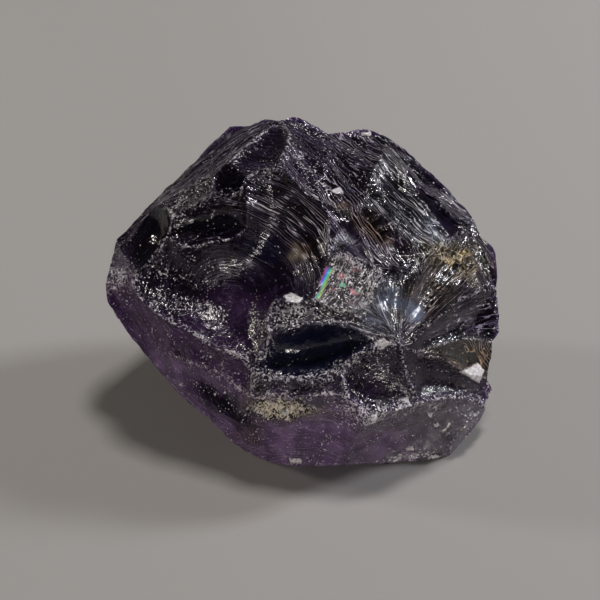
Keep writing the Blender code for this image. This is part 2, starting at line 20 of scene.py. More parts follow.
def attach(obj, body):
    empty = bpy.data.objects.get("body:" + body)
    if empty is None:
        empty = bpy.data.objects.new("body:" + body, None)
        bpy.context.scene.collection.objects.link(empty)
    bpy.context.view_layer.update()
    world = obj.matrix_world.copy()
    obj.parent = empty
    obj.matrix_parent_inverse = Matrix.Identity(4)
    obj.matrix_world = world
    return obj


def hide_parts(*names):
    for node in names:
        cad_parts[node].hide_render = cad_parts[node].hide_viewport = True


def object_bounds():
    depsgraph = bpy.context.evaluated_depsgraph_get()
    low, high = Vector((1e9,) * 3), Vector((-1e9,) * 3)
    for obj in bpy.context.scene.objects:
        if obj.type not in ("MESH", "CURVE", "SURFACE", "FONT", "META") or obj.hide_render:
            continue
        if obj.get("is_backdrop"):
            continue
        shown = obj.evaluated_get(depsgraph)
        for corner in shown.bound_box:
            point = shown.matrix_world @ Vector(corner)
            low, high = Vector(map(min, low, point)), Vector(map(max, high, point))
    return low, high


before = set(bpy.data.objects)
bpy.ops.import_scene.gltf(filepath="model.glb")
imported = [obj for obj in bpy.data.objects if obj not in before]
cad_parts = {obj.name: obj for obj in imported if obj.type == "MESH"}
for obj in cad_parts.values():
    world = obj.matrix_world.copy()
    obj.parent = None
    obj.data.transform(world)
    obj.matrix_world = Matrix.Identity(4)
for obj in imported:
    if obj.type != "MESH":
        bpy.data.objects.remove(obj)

cad_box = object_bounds()


def tell_box(what, box):
    """Prints the lowest and the highest corner of a box, in mm."""
    print(what, "fills", [[round(v * 1000, 1) for v in corner] for corner in box], "mm")


tell_box("the plain solid", cad_box)

# %% [markdown]
# ## The eye
# The eye looks down at the stone by 35 degrees from 200 mm away, through a lens of about 85 mm on
# a 36 mm sensor. Every ridge in view is placed on a line of sight from this eye, so the camera is
# not a guess made at the end: it is the same eye that the stone is built from.

# %% The eye and its lines of sight
MM = 0.001
MM_PER_PIXEL = 0.140  # size of one photograph pixel across the middle of the stone
FOCAL_PIXELS = 1417.0  # focal length, counted in pixels of the photograph
PICTURE_SIDE = 600  # pixels
MIDDLE_PIXEL = (300.0, 300.0)
EYE_DISTANCE = FOCAL_PIXELS * MM_PER_PIXEL  # in mm
EYE_ELEVATION = math.radians(35.0)
AIM = np.array([0.0, 0.0, 16.3])  # mm
STONE_MIDDLE = np.array([0.379, 0.928, 0.0])  # middle of the net's box, which goes over the origin

RIGHT = np.array([1.0, 0.0, 0.0])
UPWARD = np.array([0.0, math.sin(EYE_ELEVATION), math.cos(EYE_ELEVATION)])
TOWARDS = np.array([0.0, -math.cos(EYE_ELEVATION), math.sin(EYE_ELEVATION)])
EYE = AIM + TOWARDS * EYE_DISTANCE
GROUND = "ground"  # a corner's last word where the line of sight ends on the ground


def sight_line(x, y):
    """Direction of the line of sight through a pixel: focal length ahead, pixel offset across."""
    return (
        -TOWARDS * FOCAL_PIXELS
        + RIGHT * (x - MIDDLE_PIXEL[0])
        + UPWARD * (MIDDLE_PIXEL[1] - y)
    )


def in_view(x, y, towards):
    """The point on the line of sight through a pixel, so far towards the eye, or on the ground."""
    sight = sight_line(x, y)
    if towards == GROUND:
        return EYE - sight * EYE[2] / sight[2]
    return EYE + sight * (EYE_DISTANCE - towards) / FOCAL_PIXELS


def in_picture(points):
    """Pixel x and y of points: their offsets across the sight line over their depth along it."""
    arms = points - EYE
    depth = -(arms @ TOWARDS)
    x = MIDDLE_PIXEL[0] + FOCAL_PIXELS * (arms @ RIGHT) / depth
    y = MIDDLE_PIXEL[1] - FOCAL_PIXELS * (arms @ UPWARD) / depth
    return x, y


def show(thing):
    """Puts an object into the scene."""
    bpy.context.scene.collection.objects.link(thing)


# %% The camera
camera = bpy.data.objects.new("camera", bpy.data.cameras.new("camera"))
camera.data.angle = 2 * math.atan(PICTURE_SIDE / 2 / FOCAL_PIXELS)
camera.data.clip_start = 0.01  # m
camera.location = (EYE - STONE_MIDDLE) * MM
camera.rotation_euler = Vector(TOWARDS).to_track_quat("Z", "Y").to_euler()
show(camera)
bpy.context.scene.camera = camera
print("lens", round(camera.data.lens, 1), "mm, eye at", [round(v, 3) for v in camera.location])

# %% [markdown]
# ## The net of ridges
# A broken stone could be carved from a block with many cutters, or grown from noise. Neither puts
# a ridge where it really is. Here the ridges come first. Each corner is a pixel of the photograph
# and a height towards the eye in millimetres, each ridge is a curve between two corners, and each
# scar is the loop of ridges round one shell-shaped hollow. The sides out of view are placed in
# plain millimetres. These are the same values that the plain solid is made from.
#
# The tables are written as rows of words, because there are some five hundred rows, and they are
# easier to read and to mend without brackets and quotes.

# %% Reading a table
def rows_of(text):
    """The rows of a table of words, one row to a line. A word that reads as a number is one, a
    comma is only for the eye, and a line that starts with "#" is a comment."""
    rows = []
    for line in text.strip().splitlines():
        if line.startswith("#"):
            continue
        row = []
        for word in line.replace(",", " ").split():
            try:
                row.append(float(word))
            except ValueError:
                row.append(word)
        rows.append(row)
    return rows


def named_rows(text):
    """The rows of a table, each under its first word."""
    return {name: values for name, *values in rows_of(text)}


# %% Corners
# Corners in view: name, photograph x and y in pixels, then millimetres towards the eye
SEEN = named_rows("""
west_tip 105.5 284 0
west_brow 117 239 -2
west_shoulder 160 195 -5
north_left 250 126 -6
north_spur 279 121 -5
north_saddle 328 134 -6
north_right 385 136 -6
northeast 472 217 -4
east_high 496 288 -1
east_mid 492 342 0
east_notch 487 378 0
east_low 487 405 0
heel_right 450 455 ground
sole_mid 347 465 ground
heel_left 245 451 ground
foot_west 163 376 1.5
west_foot 149 358 1
knob 130 282 6
scoop_foot 138 272 5.5
scoop_west 121 251 0.5
scoop_top 162 203 3
lip_west 166 237 6.8
crest_bend 172 221 7
pocket_low 204 200 8.5
cavity_sw 213 191 8.7
cavity_nw 213 177 6
cavity_east 245 178 8.5
spur_low 229 162 5
spur_east 276 167 7.5
lip_tip 246 229 7.5
ridge_mid 318 200 9
seam_top 330 218 9.5
seam_mid 329 257 11
seam_low 315 298 12.5
ledge_west 275 300 12.9
ledge_south 270 336 13.1
low_knot 253 372 13
split_b_top 225 350 11.7
split_a_top 165 320 9.2
split_a_low 168 352 4.5
split_b_low 222 375 9.4
blade_top 400 160 -3
blade_end 466 229 -1
blade_low 451 238 2.5
crown_low 362 205 7.5
gold_west 434 249 5
gold_east 480 291 3.5
patch_ne 381 268 10
fan_west 371 302 12.9
fan_knot 400 346 14.3
bowl_east 376 341 14
bowl_corner 340 370 14.7
band_end 350 399 14.4
cream_ne 299 400 13.3
cream_nw 253 399 11.7
cream_sw 259 421 10
low_split 420 403 10.3
foot_knot 368 424 13.5
""")

# Corners out of view: name, then in millimetres x to the right, y away from the viewer and z up
HIDDEN = named_rows("""
belly_west -20 2 9.5
west_back -24.5 7.5 15
back_west -19 15 18.5
belly_nw -14 12.5 8
back_mid -7 20.8 22
back_split 3.5 21.3 17.5
belly_mid -0.5 15.5 6
back_east 13.5 19.3 15.5
belly_ne 14.5 13.5 6.5
east_back 22.5 13 14.5
belly_east 23.5 4.5 7.5
base_west -10 -2 0
base_nw -4.5 8 0
base_ne 10.5 7 0
base_east 18 -2.5 0
""")

print(len(SEEN), "corners in view and", len(HIDDEN), "out of view")

# %% Ridges
# Ridges in view: name, first corner, the points between, last corner
RIDGES = named_rows("""
# the outline, clockwise from the left tip
rim_west west_tip, 109 268 -1, 113 253 -2, west_brow
rim_brow west_brow, 128 229 -3, 141 214 -4, west_shoulder
rim_nw west_shoulder, 187 169 -6, 205 150 -7, 218 138 -7, 232 127 -7, north_left
rim_n1 north_left, 258 122 -6, 268 120 -6, north_spur
rim_n2 north_spur, 290 118 -5, 302 119 -5, 316 127 -6, north_saddle
rim_n3 north_saddle, 350 132 -6, 369 130 -6, north_right
rim_ne north_right, 402 147 -6, 421 163 -6, 445 186 -5, 459 201 -5, northeast
rim_e1 northeast, 482 236 -3, 494 250 -2, 498 268 -1, east_high
rim_e2 east_high, 499 305 0, 499 330 0, east_mid
rim_e3 east_mid, 491 358 0, east_notch
rim_e4 east_notch, 491 392 0, east_low
rim_e5 east_low, 483 414 0, 476 427 1, 463 441 1.5, heel_right
rim_s1 heel_right, 425 460 ground, 385 463 ground, sole_mid
rim_s2 sole_mid, 300 466 ground, 270 462 ground, heel_left
rim_sw1 heel_left, 223 433 3, 199 410 2, 176 390 2, foot_west
rim_sw2 foot_west, west_foot
rim_sw3 west_foot, 141 350 1, 131 336 1, 119 320 1, 109 303 1, west_tip
# the left crest and the scoops beside it
knob_west west_tip, 116 282 3, knob
crest_low knob, scoop_foot
crest_high scoop_foot, 149 260 6, 157 247 6.5, lip_west
crest_turn lip_west, crest_bend
scoop_sw scoop_foot, 130 263 3, scoop_west
scoop_nw scoop_west, 131 238 0, 142 222 0, 152 209 1, scoop_top
scoop_ne scoop_top, 168 209 5, crest_bend
brow_in west_brow, scoop_west
shoulder_in west_shoulder, scoop_top
spur north_spur, 262 132 -1, 245 147 2, spur_low
slope_cavity spur_low, 221 168 5.5, cavity_nw
slope_pocket cavity_nw, 200 180 4.5, 182 190 3.5, scoop_top
crest_mid crest_bend, 180 212 7.5, 190 206 8, pocket_low
pocket_east pocket_low, cavity_sw
cavity_west cavity_sw, 212 184 7.5, cavity_nw
cavity_north spur_low, 238 168 7, cavity_east
cavity_south cavity_sw, 220 194 9.2, 231 192 9.5, 241 186 9.2, cavity_east
inner_east north_spur, 288 128 -1, 289 139 2, 283 153 5, spur_east
inner_south spur_east, 262 171 8, cavity_east
# the great bowl
ripple_top spur_east, 290 178 8, 302 190 8.3, ridge_mid
seam_start ridge_mid, seam_top
seam_high seam_top, 327 240 10.3, seam_mid
seam_deep seam_mid, 322 273 11.5, seam_low
ledge_north seam_low, 298 304 12.9, ledge_west
ledge_side ledge_west, 268 320 13.1, ledge_south
bowl_se ledge_south, 263 352 12.8, low_knot
bowl_sw_a low_knot, 240 357 12.2, split_b_top
bowl_sw_b split_b_top, 205 343 10.9, 185 330 10.4, split_a_top
bowl_sw_c split_a_top, 145 303 8, knob
lip lip_west, 185 246 8.5, 206 243 8.8, 230 238 8.5, lip_tip
lip_up lip_tip, 247 205 8.8, cavity_east
# the crown and the long steps on the right
crown_split north_saddle, 330 150 -1, 325 165 2.5, 321 183 6, ridge_mid
crown_east north_right, 383 152 -2, 375 168 1.5, 368 186 4.5, crown_low
crown_south crown_low, 340 208 8.7, ridge_mid
strip_end northeast, 469 224 -2.5, blade_end
strip_start north_right, 392 150 -3.7, blade_top
blade_outer blade_top, 415 177 -2.5, 433 197 -2, 452 215 -1.5, blade_end
blade_tip blade_end, 459 235 1, blade_low
blade_inner blade_top, 410 183 0, 424 202 1, 438 221 1.5, blade_low
steps_east blade_low, gold_west
steps_south gold_west, 418 246 6, 400 232 6.5, 382 216 7, crown_low
ochre_low gold_west, 410 262 7.5, patch_ne
ochre_west patch_ne, 362 262 10.3, 345 253 10.7, seam_mid
# the bright patch, the fan and the right side
patch_east patch_ne, 381 281 11.3, 374 292 12.3, fan_west
patch_south fan_west, 350 310 13.1, 330 306 12.9, seam_low
fan_seam fan_knot, 402 325 12.6, 411 295 11, 422 270 8, gold_west
fan_low fan_knot, 385 322 13.5, fan_west
east_in blade_end, 470 252 0.5, 477 270 1.5, gold_east
gold_ridge fan_knot, 411 345 13.9, 422 334 13.2, 440 316 11.2, 462 300 8, gold_east
gold_ridge_end gold_east, east_high
east_crease east_mid, 470 339 5, 445 343 8.9, 420 350 12.2, fan_knot
east_fold fan_knot, 425 356 12, 445 360 9.5, 462 371 7, 476 376 4, east_notch
hollow_split fan_knot, 404 362 13.4, 411 384 12, low_split
# the dark bowl and the crushed band under it
fan_bowl fan_knot, 388 343 14.3, bowl_east
bowl_rim ledge_south, 285 331 13.5, 305 327 13.9, 330 325 13.9, 356 331 14.1, bowl_east
bowl_side bowl_east, 373 349 14.4, 355 354 14.6, bowl_corner
bowl_low bowl_corner, 320 376 14.4, 298 377 14.1, 275 377 13.4, low_knot
band_east bowl_corner, 344 385 14.7, band_end
band_south band_end, 335 394 14.2, 318 395 13.9, cream_ne
cream_top cream_ne, 275 395 12.8, cream_nw
band_west low_knot, 251 386 12.3, cream_nw
cream_east cream_ne, 302 411 12.6, 294 419 11.8, 275 421 10.9, cream_sw
cream_west cream_nw, 254 410 11, cream_sw
# the low ridge and the foot
low_ridge_a low_split, 404 408 12, 387 412 13.2, foot_knot
low_ridge_b east_low, 474 400 3.5, 450 399 7.3, low_split
knot_rise foot_knot, 360 409 14.2, band_end
keel foot_knot, 359 431 11.8, 352 444 8.7, sole_mid
heel heel_left, 252 437 6.7, cream_sw
flake east_low, 471 422 3.5, 457 437 4, 451 448 3.5, heel_right
lilac_top_a west_foot, split_a_low
lilac_top_b split_a_low, 186 360 6.7, 205 368 8.5, split_b_low
lilac_top_c split_b_low, 236 386 10.3, cream_nw
lilac_low cream_sw, 244 424 9, 225 415 7.7, 203 402 6.3, 182 388 4.5, foot_west
split_a split_a_top, 171 335 7.7, split_a_low
split_b split_b_top, 221 362 10.4, split_b_low
""")

# Ridges out of view: name, first corner, the points between in millimetres, last corner
HIDDEN_RIDGES = named_rows("""
under_foot foot_west, belly_west
under_tip west_tip, west_back
under_side west_back, -22.5 4 12, belly_west
base_edge_w heel_left, base_west
under_base_w belly_west, -15.5 0.5 4.5, base_west
base_edge_nw base_west, -8 3.5 0, base_nw
under_nw belly_west, -17.5 8 9, belly_nw
base_rise_nw belly_nw, -9 11 3.5, base_nw
shoulder_back west_shoulder, back_west
west_edge back_west, -22 11.5 17, west_back
back_corner back_west, -17 14.5 13, belly_nw
back_ridge_w north_left, -8.8 20.6 27, back_mid
back_shelf_w back_west, -14 17.8 20, back_mid
back_shelf_m back_mid, -2 21.5 19, back_split
back_keel back_split, 2 19.3 12, belly_mid
belly_edge belly_nw, -8 14.8 7.4, belly_mid
base_edge_n base_nw, 3 8.8 0, base_ne
base_rise_n belly_mid, 4 11.8 3.2, base_ne
back_ridge_e north_right, 14.2 20.2 24.5, 15.2 19.8 19.5, back_east
back_shelf_e back_split, 8.5 20.2 15, back_east
back_corner_e back_east, 14 16.6 10.5, belly_ne
belly_edge_e belly_mid, 6 15 6.8, belly_ne
base_rise_ne belly_ne, 12.8 10.5 3, base_ne
east_brow northeast, 23.8 12.5 18.5, east_back
east_edge back_east, 18.5 17 17, east_back
east_side east_back, 23.8 8.8 11.5, belly_east
belly_side belly_ne, 19.5 9.5 7.5, belly_east
notch_back east_notch, 25.8 0 7.2, belly_east
base_rise_e belly_east, 21 0.5 3.5, base_east
base_edge_ne base_ne, 15.2 3 0, base_east
base_edge_e base_east, heel_right
""")

print(len(RIDGES) + len(HIDDEN_RIDGES), "ridges")

# %% Scars
# Scars: name, how deep the hollow is in millimetres, and the ridges round it, clockwise from
# outside ("-" runs a ridge backwards)
SCARS = named_rows("""
tip 0.5 rim_west brow_in -scoop_sw -crest_low -knob_west
brow 0.5 rim_brow shoulder_in -scoop_nw -brow_in
dark_scoop 1.9 scoop_sw scoop_nw scoop_ne -crest_turn -crest_high
slope 0.5 rim_nw rim_n1 spur slope_cavity slope_pocket -shoulder_in
pocket 0.8 -slope_pocket -cavity_west -pocket_east -crest_mid -scoop_ne
cavity 2.2 -slope_cavity cavity_north -cavity_south cavity_west
inner_facet 1 inner_east inner_south -cavity_north -spur
black_scoop 2.2 crest_turn crest_mid pocket_east cavity_south -lip_up -lip
great_bowl 4.2 crest_low crest_high lip lip_up -inner_south ripple_top seam_start seam_high \
seam_deep ledge_north ledge_side bowl_se bowl_sw_a bowl_sw_b bowl_sw_c
crown_left 0.7 rim_n2 crown_split -ripple_top -inner_east
crown_right 0.9 rim_n3 crown_east crown_south -crown_split
outer_strip 0.4 rim_ne strip_end -blade_outer -strip_start
dark_blade 1 blade_outer blade_tip -blade_inner
steps 0.7 strip_start blade_inner steps_east steps_south -crown_east
ochre_band 1.2 -crown_south -steps_south ochre_low ochre_west -seam_high -seam_start
patch 0.5 -ochre_west patch_east patch_south -seam_deep
feather 1 -ochre_low -fan_seam fan_low -patch_east
gold_fan 1.8 -steps_east -blade_tip east_in -gold_ridge fan_seam
east_face 0.6 -strip_end rim_e1 -gold_ridge_end -east_in
ledge 0.8 -patch_south -fan_low fan_bowl -bowl_rim -ledge_side -ledge_north
dark_bowl 2.8 bowl_rim bowl_side bowl_low -bowl_se
band 0.3 -bowl_low band_east band_south cream_top -band_west
east_upper 1.3 gold_ridge gold_ridge_end rim_e2 east_crease
east_ripple 1 -east_crease rim_e3 -east_fold
east_hollow 1.8 east_fold rim_e4 low_ridge_b -hollow_split
crushed_hollow 1.6 -fan_bowl hollow_split low_ridge_a knot_rise -band_east -bowl_side
cream 0.6 -cream_top cream_east -cream_west
front_foot 1 -cream_east -band_south -knot_rise keel rim_s2 heel
right_foot 1.3 -low_ridge_a -low_ridge_b flake rim_s1 -keel
east_flake 0.3 rim_e5 -flake
lilac 1 lilac_top_a lilac_top_b lilac_top_c cream_west lilac_low rim_sw2
lower_strip 0.6 -lilac_low -heel rim_sw1
west_band_a 0.9 knob_west -bowl_sw_c split_a -lilac_top_a rim_sw3
west_band_b 1.1 -bowl_sw_b split_b -lilac_top_b -split_a
west_band_c 1 -bowl_sw_a band_west -lilac_top_c -split_b
# out of view
under_west 1.2 -rim_sw1 base_edge_w -under_base_w -under_foot
under_northwest 1 under_base_w base_edge_nw -base_rise_nw -under_nw
tip_under 1 -rim_sw3 -rim_sw2 under_foot -under_side -under_tip
tip_back 0.8 -rim_brow -rim_west under_tip -west_edge -shoulder_back
side_west 1 under_side under_nw -back_corner west_edge
back_high_w 1.4 -rim_nw shoulder_back back_shelf_w -back_ridge_w
back_low_w 1.7 back_corner belly_edge -back_keel -back_shelf_m -back_shelf_w
rise_west 0.9 base_rise_nw base_edge_n -base_rise_n -belly_edge
back_crown 1.8 -rim_n3 -rim_n2 -rim_n1 back_ridge_w back_shelf_m back_shelf_e -back_ridge_e
back_high_e 1.5 -rim_ne back_ridge_e east_edge -east_brow
back_low_e 1.9 back_keel belly_edge_e -back_corner_e -back_shelf_e
side_east 1.4 -rim_e3 -rim_e2 -rim_e1 east_brow east_side -notch_back
side_ne 1.2 back_corner_e belly_side -east_side -east_edge
rise_mid 0.5 base_rise_n -base_rise_ne -belly_edge_e
under_east 1.1 -rim_e5 -rim_e4 notch_back base_rise_e base_edge_e
rise_east 0.9 base_rise_ne base_edge_ne -base_rise_e -belly_side
base 0 -rim_s2 -rim_s1 -base_edge_e -base_edge_ne -base_edge_n -base_edge_nw -base_edge_w
""")

# Chips off the hidden sides: the middle of the ball that each follows, and its radius, in mm
CHIPS = (
    ((6.0, 25.5, 24.5), 7.0),
    ((-19.0, 22.0, 24.0), 8.0),
    ((20.5, 21.0, 19.0), 7.0),
    ((9.5, 22.0, 3.5), 9.5),
    ((-8.5, 22.5, 8.0), 7.0),
    ((-26.5, 8.5, 7.0), 6.5),
)

print(len(SCARS), "scars and", len(CHIPS), "chips")

# %% [markdown]
# ## Ridges at full sharpness
# The plain solid has a point each 1.3 mm. Here a ridge in view has one each fifth of a millimetre.
# A real ridge of quartz is never a clean line: it has lost crumbs of every size. So each ridge
# strays at random from its curve, in wobbles of several lengths, the short ones smaller.

# %% Ridge curves
FINE_STEP = 0.215  # mm between the points of a ridge or a scar in view
COARSE_STEP = 0.44  # mm, out of view
WOBBLES = (2.4, 1.2, 0.6, 0.3)  # lengths of the wobbles of a ridge, mm
WOBBLE_POWER = 0.8  # a wobble's height is in proportion to its length to this power
STRAY = 0.09  # mm, how far the longest wobble goes
ON_GROUND = 0.001  # mm, a point lower than this lies on the ground


def smooth(x):
    """Rises from 0 to 1 with x, level at both ends: 3 x^2 - 2 x^3."""
    x = np.clip(x, 0.0, 1.0)
    return x * x * (3.0 - 2.0 * x)


def corner(name):
    """Where a named corner is, in mm."""
    if name in SEEN:
        return in_view(*SEEN[name])
    return np.array(HIDDEN[name])


def curve_through(points, step):
    """Points a step apart on a smooth curve: between two points a cubic that leaves each of them
    along the line that joins that point's two neighbours."""
    ends = [2 * points[0] - points[1], *points, 2 * points[-1] - points[-2]]
    made = [points[0][None]]
    for before, a, b, after in zip(ends, ends[1:], ends[2:], ends[3:]):
        count = max(1, round(float(np.linalg.norm(b - a)) / step))
        t = np.arange(1, count + 1)[:, None] / count
        bend_a = (b - before) / 2
        bend_b = (after - a) / 2
        made.append(
            a * (2 * t**3 - 3 * t**2 + 1)
            + b * (3 * t**2 - 2 * t**3)
            + bend_a * (t**3 - 2 * t**2 + t)
            + bend_b * (t**3 - t**2)
        )
    return np.vstack(made)


def ragged(line, stray, chance):
    """The line strayed by random knots joined straight, one set for each wobble length.

    The two ends stay where they are, and so does the height of a point on the ground.
    """
    steps = np.linalg.norm(np.diff(line, axis=0), axis=1)
    along = np.concatenate([[0.0], np.cumsum(steps)])
    shift = np.zeros_like(line)
    for wobble in WOBBLES:
        knots = np.arange(0.0, along[-1] + 2 * wobble, wobble)
        high = stray * (wobble / WOBBLES[0]) ** WOBBLE_POWER
        heights = chance.normal(0.0, high, (3, len(knots)))
        shift += np.column_stack([np.interp(along, knots, axis) for axis in heights])
    shift *= smooth(np.minimum(along, along[-1] - along) / WOBBLES[0])[:, None]
    shift[line[:, 2] < ON_GROUND, 2] = 0.0
    return line + shift


def in_space(*place):
    """A point that is given in plain millimetres."""
    return np.array(place)


chance = np.random.default_rng(11)
lines = {}
for ridges, place_of, step in (
    (RIDGES, in_view, FINE_STEP),
    (HIDDEN_RIDGES, in_space, COARSE_STEP),
):
    for name, (first, *between, last) in ridges.items():
        triples = (between[k : k + 3] for k in range(0, len(between), 3))
        points = [corner(first), *(place_of(*triple) for triple in triples), corner(last)]
        lines[name] = ragged(curve_through(points, step), STRAY, chance)
print("points on ridges:", sum(len(line) for line in lines.values()))

# %% [markdown]
# ## How each scar is finished
# Ripples spread round the point of the blow, streaks run away from it, and crushed grain lies where
# the crack went slow. A scar is told apart by which of these it has, and by its colour: quartz this
# deep a purple is black where it is thick, violet where it is thin or hazy, and cream or ochre
# where iron has stained it. Where the stone mirrors the grey room or a bluish window, the skin has
# a grey or blue-grey colour that paints that reflection in, and a few gold strokes paint warm
# glints.
#
# Each line of the table gives, for one scar: the pixel that its ripples and streaks spread from,
# the ripple's length in mm and its strength, the streak's width in mm and its strength, the
# strength of the crushed grain, and the name of its colour. A far-off blow gives straight ripples.
# The strengths are read off the photograph, scar by scar, and for the hidden sides they are guessed
# from the same kinds of break.

# %% Finishes of the scars
# the feather's blue-grey skin paints the same window sheen
# the steps' blue-grey skin paints the sheen of a bluish window
SURFACES = named_rows("""
tip 98 310 0.7 0.5 0.8 0.3 0.5 violet
brow 53 133 0.6 0.6 0.9 0.1 0.3 dusk
dark_scoop 185 275 1.1 0.1 0.9 0 0.05 black
slope 113 41 0.7 0.9 1 0.1 0.25 dusk
pocket 150 260 0.6 0.4 0.9 0.1 0.5 grey
cavity 250 150 0.9 0.1 0.9 0 0.1 black
inner_facet 330 60 1 0.15 0.9 0 0.35 dusk
black_scoop 222 300 0.62 0.12 0.9 0 0.3 black
great_bowl 222 300 0.62 0.22 0.9 0 0.15 dusk
crown_left 80 225 0.87 0.55 0.9 0 0.4 dusk
crown_right 110 235 0.93 0.75 0.9 0 0.3 black
outer_strip 532 75 0.6 1 0.9 0 0.25 black
dark_blade 540 100 0.9 0 0.9 0 0 black
steps 545 106 0.87 1.05 0.8 0 0.2 steel
ochre_band 222 330 0.81 0.7 0.7 0.25 0.2 dusk
patch 166 186 0.81 1.6 0.6 0 0.85 frost
feather 402 352 0.7 0 0.6 0.9 0.3 steel
gold_fan 290 450 0.7 0.1 0.5 1 0.25 black
east_face 600 215 0.6 0.7 0.9 0 0.3 black
ledge 430 350 0.6 0.1 0.8 0.8 0.7 grey
dark_bowl 330 300 0.9 0.06 0.9 0.1 0.12 night
band 402 347 0.6 0.2 0.7 0.5 0.4 dusk
east_upper 395 352 0.6 0 0.8 0.7 0.22 black
east_ripple 452 428 0.81 1.3 0.7 0.1 0.05 ochre
east_hollow 452 428 0.7 0.35 0.9 0.2 0.35 dusk
crushed_hollow 400 345 0.6 0.4 0.9 0.3 0.45 dusk
cream 275 380 0.6 0.3 0.9 0.2 0.6 lilac
front_foot 300 505 0.75 0.32 0.9 0 0.4 lilac
right_foot 450 500 0.8 0.08 0.9 0 0.35 satin
east_flake 520 470 0.6 0.4 0.9 0 0.4 satin
lilac 350 215 0.8 0.35 0.9 0 0.4 lilac
lower_strip 106 522 0.65 0.45 0.9 0 0.35 lilac
west_band_a 60 420 0.7 0.45 0.9 0 0.4 plum
west_band_b 330 215 0.7 0.4 0.9 0 0.35 plum
west_band_c 330 215 0.7 0.3 0.9 0 0.35 plum
# out of view the blow fell beyond the rim, at this share of the way round it
under_west 0.2 0.8 0.25 0.9 0.1 0.4 lilac
under_northwest 0.7 0.8 0.25 0.9 0.2 0.4 violet
tip_under 0.4 0.7 0.4 0.9 0.1 0.4 violet
tip_back 0.1 0.7 0.5 0.9 0 0.4 grey
side_west 0.8 0.9 0.3 0.9 0.3 0.4 dusk
back_high_w 0.3 0.7 0.55 0.9 0.1 0.45 grey
back_low_w 0.6 1 0.2 0.8 0.1 0.3 black
rise_west 0.5 0.8 0.3 0.9 0.1 0.3 lilac
back_crown 0.05 0.75 0.55 0.9 0.3 0.5 dusk
back_high_e 0.5 0.7 0.2 0.8 0.7 0.3 steel
back_low_e 0.1 0.9 0.3 0.9 0.2 0.35 violet
side_east 0.35 0.8 0.45 0.9 0.2 0.45 dusk
side_ne 0.6 0.8 0.35 0.8 0.5 0.5 dusk
rise_mid 0.3 0.7 0.3 0.9 0.1 0.3 lilac
under_east 0.8 0.8 0.3 0.9 0.1 0.3 satin
rise_east 0.2 0.8 0.3 0.9 0.2 0.35 violet
base 0.5 0.8 0.3 0.9 0.1 0.3 lilac
""")
IN_VIEW = {name for name, (*blow, _, _, _, _, _, _) in SURFACES.items() if len(blow) == 2}
print(len(SURFACES), "scars, of which", len(IN_VIEW), "are in view")

# %% Colours
# Colour of the haze in the quartz, how much haze there is, roughness of the skin, and how far the
# crushed quartz takes on the colour
COLOURS = {
    "black": ("#7458a0", 0.010, 0.060, 0.1),
    "night": ("#3c4686", 0.075, 0.06, 0.1),
    "dusk": ("#7d52a0", 0.022, 0.095, 0.1),
    "violet": ("#8a5ca8", 0.075, 0.13, 0.1),
    "plum": ("#74448c", 0.25, 0.13, 0.1),
    "lilac": ("#a282b4", 0.43, 0.17, 0.1),
    # a painted reflection of the grey room, given as a grey haze colour
    "grey": ("#8a7c98", 0.03, 0.11, 0.1),
    "satin": ("#a49aaa", 0.34, 0.20, 0.1),
    # a painted blue-grey sheen, where the steps and the fan mirror a bluish window
    "steel": ("#8c92a8", 0.015, 0.10, 0.1),
    # a painted reflection of a bluish window, given as a pale blue-grey haze
    "mirror": ("#94a4c4", 0.32, 0.13, 0.1),
    "frost": ("#cfc3cd", 0.07, 0.11, 0.0),
    "ochre": ("#d2aa80", 0.0, 0.10, 0.9),
    # painted warm glints: crushed quartz stained gold stands in for warm reflections on the fan
    "gold": ("#f6dc94", 0.05, 0.12, 0.9),
    "cream": ("#fff2d8", 0.00, 0.14, 0.9),
    "sand": ("#b8a078", 0.35, 0.30, 0.3),
}


def hex_to_linear(code):
    """Linear red, green and blue of an sRGB hex code: the straight part up to 0.04045, then the
    power 2.4."""
    value = np.array([int(code[k : k + 2], 16) for k in (1, 3, 5)]) / 255
    return np.where(value <= 0.04045, value / 12.92, ((value + 0.055) / 1.055) ** 2.4)


def solid_colour(code):
    """The same with a fourth number, 1, for a colour that hides what is behind it."""
    return (*hex_to_linear(code), 1.0)


print(len(COLOURS), "colours")
